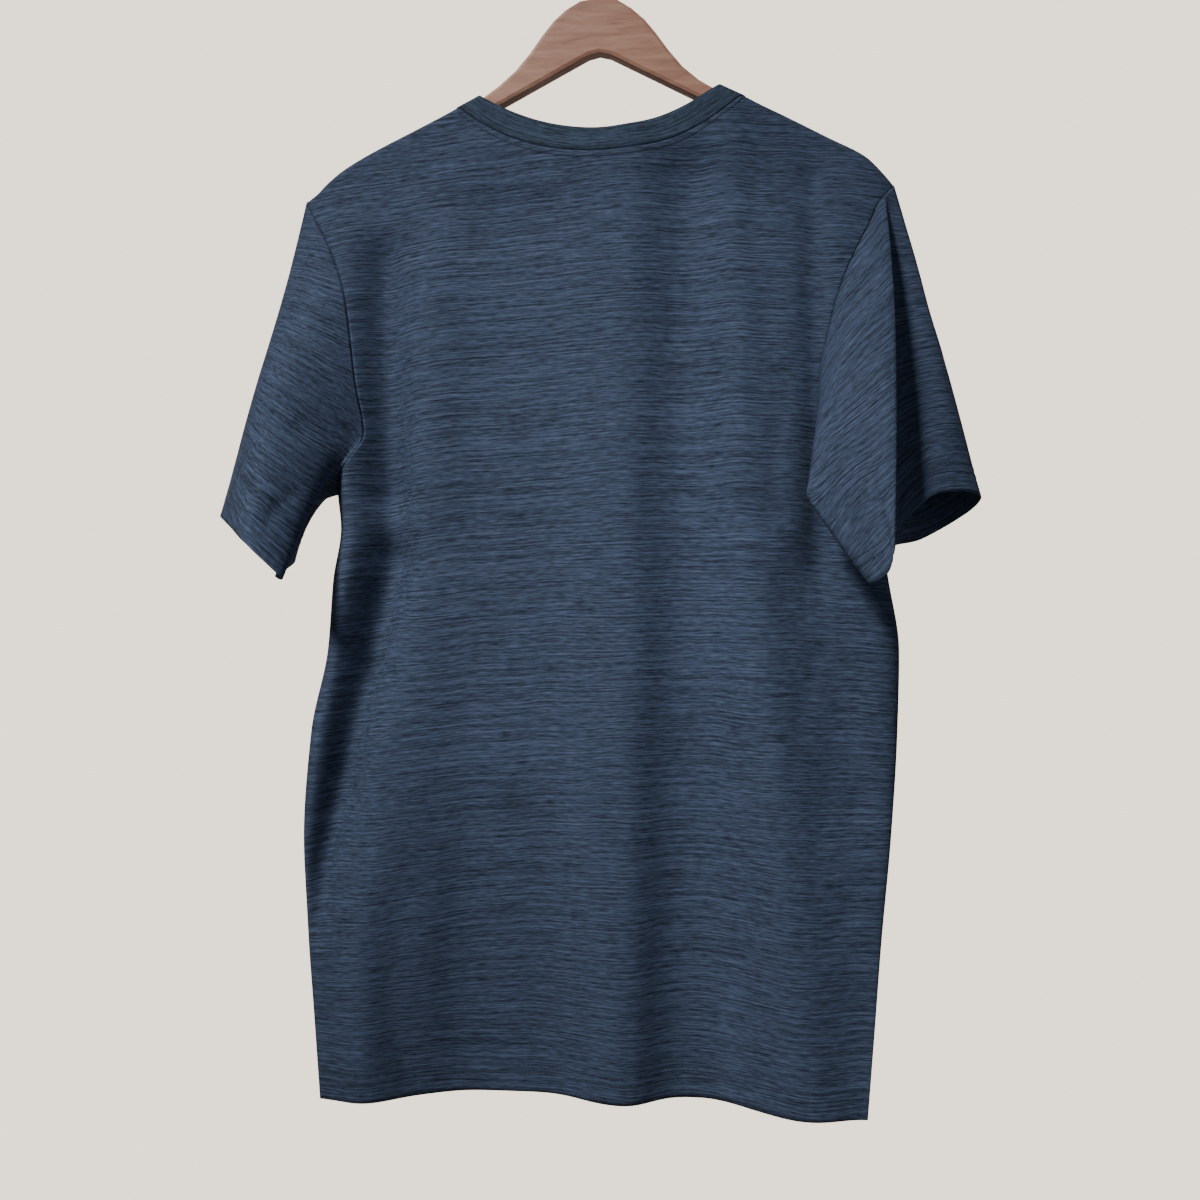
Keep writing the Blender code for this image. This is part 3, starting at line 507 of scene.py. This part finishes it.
def sleeve(lines, creases, fan, back_edge, front_edge):
    """A sleeve: its grid, rows from the armhole to the cuff, and each point's place on the cut."""
    up, down = measured(back_edge), measured(front_edge[::-1])
    seam = np.concatenate([back_edge, front_edge[::-1][1:]])
    seam_share = np.concatenate([up / up[-1] / 2, (0.5 + down / down[-1] / 2)[1:]])
    knots = np.array([row[1] for row in lines] + [1.0])
    places = set(np.round(seam_share[:-1], 9))
    for low, high in zip(knots[:-1], knots[1:]):
        steps = max(SLEEVE_BETWEEN, int((high - low) * 110))
        for share in np.linspace(low, high, steps, endpoint=False):
            if min(abs(share - place) for place in places) > 0.0012:
                places.add(share)
    places = np.array(sorted(places))
    armhole = np.stack([np.interp(places, seam_share, seam[:, axis]) for axis in range(3)], axis=-1)
    middle = ring(knots, [np.array(row[4:7]) * MM for row in lines], places)
    cuff = ring(knots, [np.array(row[7:10]) * MM for row in lines], places)
    crease = np.interp(places, knots, [row[2] for row in lines] + [lines[0][2]])[:, None]
    lift = np.interp(places, knots, [row[3] for row in lines] + [lines[0][3]])[:, None] * MM
    outward = armhole - np.array([math.copysign(SLEEVE_PIVOT, lines[0][4]), 0, 0])
    outward[:, 2] = 0
    outward /= np.linalg.norm(outward, axis=1, keepdims=True)
    t = np.linspace(0, 1, SLEEVE_ROWS + 1)[:, None, None]
    m = SLEEVE_MIDDLE
    soft = (
        armhole * (t - m) * (t - 1) / m
        + middle * t * (t - 1) / (m * (m - 1))
        + cuff * t * (t - m) / (1 - m)
    )
    upper, lower = np.clip(t / m, 0, 1), np.clip((t - m) / (1 - m), 0, 1)
    kinked = armhole * (1 - upper) + middle * (upper - lower) + cuff * lower
    rise = 27 / 4 * t * (1 - t) ** 2
    grid = soft * (1 - crease) + kinked * crease + outward * lift * rise
    heights = ring(knots, [np.array([row[10], row[11], 0]) * MM for row in lines], places)
    mid_height, top_height, along = heights[:, 0], heights[:, 1], t[..., 0]
    v = top_height * (along - m) * (along - 1) / m + mid_height * along * (along - 1) / (m * (m - 1))
    if fan:
        reach_x, reach_z = grid[..., 0] - fan[0] * MM, grid[..., 2] - fan[1] * MM
        v = SLEEVE_FAN_REACH * (np.arctan2(reach_z, reach_x) + math.radians(fan[2]))
    step = np.linalg.norm(np.diff(grid, axis=1), axis=-1)
    u = np.concatenate([np.zeros((len(grid), 1)), np.cumsum(step, axis=1)], axis=1)
    u = u - u[:, [int(np.argmin(np.abs(places - 0.5)))]]
    cut = np.stack([u, v], axis=-1)
    round_cuff = measured(np.concatenate([cuff, cuff[:1]]))
    # creases, drawn in shares of the sleeve and measured in mm of the cut
    share_round = places[None, :] + 0 * t[..., 0]
    share_down = t[..., 0] + 0 * share_round
    width, length = round_cuff[-1] * 1.1, float(top_height.mean())
    tall = [(a * width / MM, b * length / MM, c * width / MM, d * length / MM, half, out)
            for a, b, c, d, half, out in creases]
    out = crease_height(tall, share_round * width, share_down * length)
    out = out * ease(share_down / 0.12)
    return grid, cut, out


def collar(back_neck, front_neck):
    """The rib: rows from its seam to its free edge, round from the left neck point."""
    seam = np.concatenate([back_neck[:-1], front_neck[:-1]])
    on_back = np.arange(len(seam)) < len(back_neck)
    x = seam[:, 0] * COLLAR_HALF / NECK_HALF
    share = np.clip(np.abs(x) / COLLAR_HALF, 0, 1)
    drop = np.where(on_back, COLLAR_BACK_DROP, COLLAR_FRONT_DROP)
    z = COLLAR_HEIGHT - drop * (1 - share**COLLAR_POWER)
    free = np.stack([x, seam[:, 1] * COLLAR_LEAN, z], axis=-1)
    t = np.linspace(0, 1, COLLAR_ROWS + 1)[:, None, None]
    grid = seam * (1 - t) + free * t
    length = measured(np.concatenate([seam, seam[:1]]))
    wide = float(np.linalg.norm(free - seam, axis=1).mean())
    cut = np.stack([length[:-1] + 0 * t[..., 0], t[..., 0] * wide + 0 * length[:-1]], axis=-1)
    return grid, cut


def normals_of(grid, closed, flip):
    """Unit normals of a grid of points, pointing out of the garment."""
    if closed:
        across = np.roll(grid, -1, axis=1) - np.roll(grid, 1, axis=1)
    else:
        across = np.gradient(grid, axis=1)
    normal = np.cross(across, np.gradient(grid, axis=0))
    normal /= np.maximum(np.linalg.norm(normal, axis=-1, keepdims=True), 1e-12)
    return -normal if flip else normal


# ------------------------------------------------------------------ materials
def linear(text):
    """An sRGB hex colour as a linear one."""
    parts = [int(text[i : i + 2], 16) / 255 for i in (0, 2, 4)]
    return (*[c / 12.92 if c <= 0.04045 else ((c + 0.055) / 1.055) ** 2.4 for c in parts], 1)


def add(material, kind, links=(), **settings):
    """A node with its settings; links are (its input, another node's output)."""
    node = material.node_tree.nodes.new(kind)
    for name, value in settings.items():
        if name.startswith("in_"):
            key = name[3:]
            node.inputs[int(key) if key.isdigit() else key.replace("_", " ")].default_value = value
        else:
            setattr(node, name, value)
    for key, output in links:
        material.node_tree.links.new(node.inputs[key], output)
    return node


def new_material(name):
    material = bpy.data.materials.new(name)
    material.use_nodes = True
    return material, material.node_tree.nodes["Principled BSDF"]


def ramp(material, value, stops):
    """A colour ramp whose stops are (place, colour)."""
    node = add(material, "ShaderNodeValToRGB", [("Fac", value)])
    for k, (place, colour) in enumerate(stops):
        stop = node.color_ramp.elements[k] if k < 2 else node.color_ramp.elements.new(place)
        stop.position = place
        stop.color = colour
    return node.outputs["Color"]


# The jersey's streaks: metres along and across a course
DASHES = (0.007, 0.0009)
THREADS = (0.024, 0.0012)
COURSES = (0.150, 0.0015)
WANDER_RATE = (22.0, 9.0, 0.0)  # how often the courses wander, in waves for each metre
WANDER = (0.0, 0.0034, 0.0)  # how far, in metres
SEAM_DIP = 0.0024  # how far from a seam the cloth dips towards it
LAYER_EDGE = 0.0014  # over which a second layer of cloth ends
# painted shade: the cloth's colour is darker near seams and rows of stitches
STITCH_SHADE = 0.0013  # how far from a row of stitches the cloth is darker
SHADED = 0.82  # how bright the cloth is in a seam or under a stitch


def jersey(name, light, middle, dark, rib=None):
    """Single jersey, circular-knitted from space-dyed yarn, so that each course changes shade
    along its length: fine dark dashes, about a millimetre wide, on a blue ground.
    The cut's own coordinates carry it, in metres."""
    material, shader = new_material(name)
    cut = add(material, "ShaderNodeUVMap", uv_map="cut").outputs["UV"]

    def times(vector, scale):
        node = add(material, "ShaderNodeVectorMath", [(0, vector)], operation="MULTIPLY")
        node.inputs[1].default_value = scale
        return node.outputs["Vector"]

    def noise(vector, scale, detail):
        return add(material, "ShaderNodeTexNoise", [("Vector", vector)], noise_dimensions="2D",
                   in_Scale=scale, in_Detail=detail, in_Roughness=0.5)

    def mixed(a, b, share):
        first = add(material, "ShaderNodeMath", [(0, a)], operation="MULTIPLY", in_1=1 - share)
        return add(material, "ShaderNodeMath", [(0, b), (2, first.outputs[0])],
                   operation="MULTIPLY_ADD", in_1=share).outputs[0]

    # courses wander by a few millimetres over each few centimetres, as knitting does once hung
    wander = noise(times(cut, WANDER_RATE), 1.0, 0.6).outputs["Color"]
    moved = add(material, "ShaderNodeVectorMath",
                [(0, cut), (1, times(wander, WANDER))], operation="ADD").outputs["Vector"]
    dashes, threads, courses = (
        noise(times(moved, (1 / long, 1 / wide, 0)), 1.0, 1.0).outputs["Fac"]
        for long, wide in (DASHES, THREADS, COURSES)
    )
    yarn = mixed(mixed(dashes, threads, 0.5), courses, 0.32)
    colour = ramp(material, yarn, [(0.34, dark), (0.66, light), (0.5, middle)])

    # relief: the yarn's own unevenness and a fine grain, in place of loops too small to show
    grain = noise(cut, 1500.0, 2.0).outputs["Fac"]
    relief = mixed(yarn, grain, 0.4)
    if rib:
        wales = add(material, "ShaderNodeTexWave", [("Vector", cut)], wave_type="BANDS",
                    bands_direction="X", in_Scale=rib)
        relief = mixed(relief, wales.outputs["Fac"], 0.3)
    bump = add(material, "ShaderNodeBump", [("Height", relief)], in_Strength=0.3,
               in_Distance=0.0005)

    # sewing: the cloth dips into each seam, and is double in the turned hem and the neck seam
    def rising(value, start, end):
        node = add(material, "ShaderNodeMapRange", [("Value", value)],
                   interpolation_type="SMOOTHSTEP", in_1=start, in_2=end)
        return node.outputs["Result"]

    sewn = add(material, "ShaderNodeUVMap", uv_map="sewn").outputs["UV"]
    edges = add(material, "ShaderNodeSeparateXYZ", [("Vector", sewn)])
    from_hem, from_seam = edges.outputs["X"], edges.outputs["Y"]
    neck = add(material, "ShaderNodeUVMap", uv_map="neck").outputs["UV"]
    from_neck = add(material, "ShaderNodeSeparateXYZ", [("Vector", neck)]).outputs["X"]
    sunk = rising(from_seam, 0.0, SEAM_DIP)
    thin = mixed(rising(from_hem, HEM_DEPTH, HEM_DEPTH + LAYER_EDGE),
                 rising(from_neck, NECK_SEAM_DEPTH, NECK_SEAM_DEPTH + LAYER_EDGE), 0.5)
    raised = add(material, "ShaderNodeMath", [(0, thin), (2, sunk)],
                 operation="MULTIPLY_ADD", in_1=-1.0)
    folded = add(material, "ShaderNodeBump",
                 [("Height", raised.outputs[0]), ("Normal", bump.outputs["Normal"])],
                 in_Strength=1.0, in_Distance=0.0002)
    material.node_tree.links.new(shader.inputs["Normal"], folded.outputs["Normal"])

    # painted shade: the cloth's colour is darkened in a seam and along a row of stitches, where little
    # light reaches
    def beside(value, place):
        away = add(material, "ShaderNodeMath", [(0, value)], operation="SUBTRACT", in_1=place)
        away = add(material, "ShaderNodeMath", [(0, away.outputs[0])], operation="ABSOLUTE").outputs[0]
        return rising(away, 0.0, STITCH_SHADE)

    lit = rising(from_seam, -0.0012, 0.0014)
    stitched = ((from_hem, HEM_DEPTH), (from_hem, HEM_DEPTH - TWIN_GAP),
                (from_neck, NECK_SEAM_DEPTH))
    for value, place in stitched:
        lit = add(material, "ShaderNodeMath", [(0, lit), (1, beside(value, place))],
                  operation="MULTIPLY").outputs[0]
    shade = add(material, "ShaderNodeMapRange", [("Value", lit)],
                in_3=SHADED, in_4=1.0).outputs["Result"]
    # the yarn's colour with the painted shade of the seams and stitches
    painted_shade_colour = add(material, "ShaderNodeVectorMath", [(0, colour), ("Scale", shade)], operation="SCALE")
    material.node_tree.links.new(shader.inputs["Base Color"], painted_shade_colour.outputs["Vector"])
    shader.inputs["Roughness"].default_value = 0.85
    shader.inputs["Specular IOR Level"].default_value = 0.2
    shader.inputs["Sheen Weight"].default_value = 0.05
    shader.inputs["Sheen Roughness"].default_value = 0.45
    shader.inputs["Sheen Tint"].default_value = linear("8FA3BD")
    return material


def lacquered_beech(name):
    """Beech, stained red-brown and sprayed with satin lacquer: long soft grain, small dark
    flecks, and a shine that the grain just breaks."""
    material, shader = new_material(name)
    place = add(material, "ShaderNodeTexCoord").outputs["Object"]
    along = add(material, "ShaderNodeVectorMath", [(0, place)], operation="MULTIPLY")
    along.inputs[1].default_value = (16, 160, 150)
    grain = add(material, "ShaderNodeTexNoise", [("Vector", along.outputs["Vector"])],
                in_Scale=1.0, in_Detail=5.0, in_Roughness=0.6, in_Distortion=0.6)
    flecks_at = add(material, "ShaderNodeVectorMath", [(0, place)], operation="MULTIPLY")
    flecks_at.inputs[1].default_value = (160, 900, 900)
    flecks = add(material, "ShaderNodeTexNoise", [("Vector", flecks_at.outputs["Vector"])],
                 in_Scale=1.0, in_Detail=2.0)
    sum_of = add(material, "ShaderNodeMath",
                 [(0, flecks.outputs["Fac"]), (2, grain.outputs["Fac"])],
                 operation="MULTIPLY_ADD", in_1=0.25)
    colour = ramp(material, sum_of.outputs[0],
                  [(0.36, linear("94695A")), (0.90, linear("C8A18D")), (0.62, linear("B58874"))])
    material.node_tree.links.new(shader.inputs["Base Color"], colour)
    bump = add(material, "ShaderNodeBump", [("Height", grain.outputs["Fac"])], in_Strength=0.12,
               in_Distance=0.0004)
    material.node_tree.links.new(shader.inputs["Normal"], bump.outputs["Normal"])
    shader.inputs["Roughness"].default_value = 0.38
    shader.inputs["Coat Weight"].default_value = 0.35
    shader.inputs["Coat Roughness"].default_value = 0.25
    return material


def plated_steel(name):
    """Steel wire, drawn and bright-plated: near mirror, with faint drawing lines."""
    material, shader = new_material(name)
    place = add(material, "ShaderNodeTexCoord").outputs["Object"]
    lines = add(material, "ShaderNodeTexNoise", [("Vector", place)], in_Scale=900.0, in_Detail=2.0)
    colour = ramp(material, lines.outputs["Fac"], [(0.3, linear("A9ABAD")), (0.7, linear("C9CBCC"))])
    material.node_tree.links.new(shader.inputs["Base Color"], colour)
    shader.inputs["Metallic"].default_value = 1.0
    shader.inputs["Roughness"].default_value = 0.24
    return material


def sewing_thread(name):
    """Spun polyester thread, dyed navy: darker than the cloth, with a slight shine."""
    material, shader = new_material(name)
    place = add(material, "ShaderNodeTexCoord").outputs["Object"]
    twist = add(material, "ShaderNodeTexNoise", [("Vector", place)], in_Scale=1500.0)
    colour = ramp(material, twist.outputs["Fac"], [(0.3, linear("1C2634")), (0.7, linear("2D3B50"))])
    material.node_tree.links.new(shader.inputs["Base Color"], colour)
    shader.inputs["Roughness"].default_value = 0.6
    return material


def plain(name, colour, roughness):
    """Matt paint."""
    material, shader = new_material(name)
    shader.inputs["Base Color"].default_value = colour
    shader.inputs["Roughness"].default_value = roughness
    return material


# ------------------------------------------------------------------ making the pieces
def cloth(name, grid, cut, sewing, closed, flip, thick, material, node):
    """A thin shell on a grid, with the cut's own coordinates. closed joins its last strip to its
    first, and flip turns the faces of a grid that runs the other way round."""
    rows, strips = grid.shape[:2]
    points = grid.reshape(-1, 3)
    around = strips if closed else strips - 1
    i, j = np.meshgrid(np.arange(rows - 1), np.arange(around), indexing="ij")
    k = (j + 1) % strips
    faces = np.stack([i * strips + j, i * strips + k, (i + 1) * strips + k, (i + 1) * strips + j], -1)
    flat = cut.reshape(-1, 2)
    corners = flat[faces.reshape(-1, 4)]
    if closed:
        # the last strip runs on past the seam, and doesn't turn back to the first
        seam = (j == strips - 1).reshape(-1)
        start, end = cut[:, 0, 0], cut[:, -1, 0]
        step = (end - start) / (strips - 1)
        rows_of = i.reshape(-1)[seam]
        corners[seam, 1, 0] = end[rows_of] + step[rows_of]
        corners[seam, 2, 0] = end[rows_of + 1] + step[rows_of + 1]
    faces = faces.reshape(-1, 4)
    layers = {"cut": corners, "sewn": sewing[0].reshape(-1, 2)[faces],
              "neck": np.repeat(sewing[1].reshape(-1, 1), 2, axis=1)[faces]}
    if flip:
        faces = faces[:, ::-1]
    mesh = bpy.data.meshes.new(name)
    mesh.from_pydata(points.tolist(), [], faces.tolist())
    for layer, values in layers.items():
        values = values[:, ::-1] if flip else values
        mesh.uv_layers.new(name=layer)
        mesh.uv_layers[layer].data.foreach_set("uv", values.reshape(-1).astype(np.float32))
    mesh.shade_smooth()
    mesh.materials.append(material)
    piece = bpy.data.objects.new(name, mesh)
    bpy.context.scene.collection.objects.link(piece)
    wall = piece.modifiers.new("cloth wall", "SOLIDIFY")
    wall.thickness = thick
    wall.offset = 0
    wall.use_even_offset = False
    bpy.context.view_layer.objects.active = piece
    piece.select_set(True)
    bpy.ops.object.modifier_apply(modifier=wall.name)
    piece.select_set(False)
    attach(piece, "root")
    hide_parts(node)
    return piece


def length_along(grid, axis):
    """Distance along each row or column of a grid from its start."""
    step = np.linalg.norm(np.diff(grid, axis=axis), axis=-1)
    start = np.zeros_like(np.take(step, [0], axis=axis))
    return np.concatenate([start, np.cumsum(step, axis=axis)], axis=axis)


def panel_sewing(grid):
    """Each point's distance from the hem, from the nearest seam, and from the neck seam."""
    across, up = length_along(grid, 1), length_along(grid, 0)
    down = up[-1:] - up
    sides = np.minimum(across, across[:, -1:] - across)
    within = slice(SHOULDER_STRIPS, -SHOULDER_STRIPS)
    seam, neck = np.minimum(sides, down), np.full_like(sides, 1.0)
    seam[:, within], neck[:, within] = sides[:, within], down[:, within]
    return np.stack([up, seam], axis=-1), neck


def sleeve_sewing(grid):
    """The same for a sleeve, whose hem is the cuff, and whose seam is the underarm's."""
    around, down = length_along(grid, 1), length_along(grid, 0)
    seam = np.minimum(np.minimum(around, around[:, -1:] - around), down)
    return np.stack([down[-1:] - down, seam], axis=-1), np.full_like(seam, 1.0)


def stitches(name, rows):
    """Rows of straight stitches: each row is (points, the way out of the cloth, lift)."""
    curve = bpy.data.curves.new(name, "CURVE")
    curve.dimensions = "3D"
    curve.bevel_depth = THREAD_THICK / 2
    curve.bevel_resolution = 1
    curve.use_fill_caps = True
    for line, outward, lift in rows:
        length = measured(line)
        count = int(length[-1] / STITCH_STEP)
        for k in range(count):
            for_one = np.array([0.08, 0.3, 0.7, 0.92]) * STITCH_STEP + length[-1] * k / count
            rise = np.array([-0.3, 0.25, 0.25, -0.3]) * THREAD_THICK + lift
            place = np.stack([np.interp(for_one, length, line[:, axis]) for axis in range(3)], axis=-1)
            out = np.stack([np.interp(for_one, length, outward[:, axis]) for axis in range(3)], axis=-1)
            spline = curve.splines.new("POLY")
            spline.points.add(3)
            for point, spot in zip(spline.points, place + out * rise[:, None]):
                point.co = (*spot, 1)
    piece = bpy.data.objects.new(name, curve)
    bpy.context.scene.collection.objects.link(piece)
    bpy.context.view_layer.objects.active = piece
    piece.select_set(True)
    bpy.ops.object.convert(target="MESH")
    piece = bpy.context.object
    piece.data.materials.append(thread)
    piece.select_set(False)
    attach(piece, "root")
    return piece


def row_at(grid, normals, distance, far):
    """The line on a cloth at some distance from an edge, and the way out of the cloth there."""
    points, outward = [], []
    for j in range(grid.shape[1]):
        order = np.argsort(distance[:, j])
        at = distance[order, j]
        points.append([np.interp(far, at, grid[order, j, axis]) for axis in range(3)])
        outward.append([np.interp(far, at, normals[order, j, axis]) for axis in range(3)])
    return np.array(points), np.array(outward)


slate_jersey = jersey("space-dyed jersey", linear("51607F"), linear("3D4A62"), linear("252D3D"))
slate_rib = jersey("space-dyed rib", linear("46566F"), linear("364458"), linear("212A37"), rib=95.0)
thread = sewing_thread("navy polyester thread")

back, back_girth = panel(("back_left", "back_right"), 0.0, BACK_NECK_DROP, BACK_NECK_POWER)
front, front_girth = panel(("front_right", "front_left"), 2.0, FRONT_NECK_DROP, FRONT_NECK_POWER)
front[-1, : SHOULDER_STRIPS + 1] = back[-1, -SHOULDER_STRIPS - 1 :][::-1]
front[-1, -SHOULDER_STRIPS - 1 :] = back[-1, : SHOULDER_STRIPS + 1][::-1]
back_cut = body_cut(back, back_girth, 0.0)
front_cut = body_cut(front, front_girth, 2.0)
left, left_cut, left_out = sleeve(
    LEFT_SLEEVE, LEFT_SLEEVE_CREASES, LEFT_FAN, back[ROWS_BELOW:, 0], front[ROWS_BELOW:, -1]
)
right, right_cut, right_out = sleeve(
    RIGHT_SLEEVE, RIGHT_SLEEVE_CREASES, None, back[ROWS_BELOW:, -1], front[ROWS_BELOW:, 0]
)
left = left + normals_of(left, True, False) * left_out[..., None]
right = right + normals_of(right, True, True) * right_out[..., None]
rib, rib_cut = collar(
    back[-1, SHOULDER_STRIPS:-SHOULDER_STRIPS], front[-1, SHOULDER_STRIPS:-SHOULDER_STRIPS]
)

back_sewing, front_sewing = panel_sewing(back), panel_sewing(front)
left_sewing, right_sewing = sleeve_sewing(left), sleeve_sewing(right)
plain_rib = (np.full((*rib.shape[:2], 2), 1.0), np.full(rib.shape[:2], 1.0))

back_piece = cloth("back_panel", back, back_cut, back_sewing, False, False, CLOTH_THICK,
                   slate_jersey, "back")
front_piece = cloth("front_panel", front, front_cut, front_sewing, False, False, CLOTH_THICK,
                    slate_jersey, "front")
left_piece = cloth("left_sleeve", left, left_cut, left_sewing, True, False, CLOTH_THICK,
                   slate_jersey, "sleeve_left")
right_piece = cloth("right_sleeve", right, right_cut, right_sewing, True, True, CLOTH_THICK,
                    slate_jersey, "sleeve_right")
rib_piece = cloth("neck_rib", rib, rib_cut, plain_rib, True, False, RIB_THICK,
                  slate_rib, "collar")

rows = []
hemmed = ((back, back_sewing, False, False), (front, front_sewing, False, False),
          (left, left_sewing, True, False), (right, right_sewing, True, True))
for grid, sewing, closed, flip in hemmed:
    outward = normals_of(grid, closed, flip)
    for far in (HEM_DEPTH, HEM_DEPTH - TWIN_GAP):
        rows.append((*row_at(grid, outward, sewing[0][..., 0], far), CLOTH_THICK / 2))
stitches("hem_stitches", rows)
rows = []
for grid, sewing in ((back, back_sewing), (front, front_sewing)):
    within = slice(SHOULDER_STRIPS, -SHOULDER_STRIPS)
    outward = normals_of(grid, False, False)[:, within]
    line = row_at(grid[:, within], outward, sewing[1][:, within], NECK_SEAM_DEPTH)
    rows.append((*line, CLOTH_THICK / 2))
stitches("neck_stitches", rows)

# ------------------------------------------------------------------ hanger and hook
beech = lacquered_beech("stained beech, satin lacquer")
steel = plated_steel("bright-plated steel wire")
for node, finish in (("hanger", beech), ("hook", steel)):
    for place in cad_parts[node].material_slots:
        place.material = finish

# ------------------------------------------------------------------ floor, light, camera
FLOOR_HEIGHT = -1.9
FLOOR_SIZE = 3.6
ROOM_SEEN = 2.5  # how bright the room is to the camera
ROOM_LIGHT = 0.15  # how brightly it lights the cloth
bpy.ops.mesh.primitive_plane_add(size=FLOOR_SIZE, location=(0, 0, FLOOR_HEIGHT))
floor = bpy.context.object
floor.name = "floor"
floor.data.materials.append(plain("pale matt floor", linear("DAD5CF"), 0.9))
floor.select_set(False)

# The room is seen pale, and lights the cloth less than it shows.
world = bpy.data.worlds.new("pale room")
world.use_nodes = True
room = world.node_tree.nodes["Background"]
seen = world.node_tree.nodes.new("ShaderNodeBackground")
seen.inputs["Color"].default_value = linear("EFE3D2")
seen.inputs["Strength"].default_value = ROOM_SEEN
room.inputs["Color"].default_value = linear("E6E6EA")
room.inputs["Strength"].default_value = ROOM_LIGHT
ray = world.node_tree.nodes.new("ShaderNodeLightPath")
either = world.node_tree.nodes.new("ShaderNodeMixShader")
world.node_tree.links.new(either.inputs[0], ray.outputs["Is Camera Ray"])
world.node_tree.links.new(either.inputs[1], room.outputs["Background"])
world.node_tree.links.new(either.inputs[2], seen.outputs["Background"])
surface = world.node_tree.nodes["World Output"].inputs["Surface"]
world.node_tree.links.new(surface, either.outputs["Shader"])
bpy.context.scene.world = world


def lamp(name, place, aim, wide, tall, spread, watts, colour):
    data = bpy.data.lights.new(name, "AREA")
    data.shape = "RECTANGLE"
    data.size = wide
    data.size_y = tall
    data.energy = watts
    data.spread = math.radians(spread)
    data.color = linear(colour)[:3]
    light = bpy.data.objects.new(name, data)
    light.location = place
    run = np.array(aim) - np.array(place)
    across = math.hypot(run[0], run[1])
    light.rotation_euler = (math.atan2(across, -run[2]), 0, math.atan2(-run[0], run[1]))
    bpy.context.scene.collection.objects.link(light)


# The window lights the back of the shirt from the upper left, the room softens its right side,
# and the last lamp lights the side that the photo doesn't show.
lamp("window", (-1.62, -2.80, 2.16), (0.03, 0, -0.54), 0.7, 0.7, 19, 2.9, "FFF9F2")
lamp("room", (1.8, -1.6, 0.0), (0, 0, -0.5), 2.0, 2.0, 180, 1.2, "EEF2FF")
lamp("behind", (-0.6, 2.2, 0.9), (0, 0, -0.5), 1.8, 1.8, 180, 52, "FFF6EC")

# The photo's view, level: the distance is estimated, as the photo gives no measure of it
camera_data = bpy.data.cameras.new("camera")
camera_data.lens = 39.58
camera_data.sensor_width = 36
camera = bpy.data.objects.new("camera", camera_data)
camera.location = (0.0861, -0.9461, -0.5054)
camera.rotation_euler = (math.radians(90), 0, math.radians(5.2))
bpy.context.scene.collection.objects.link(camera)
bpy.context.scene.camera = camera
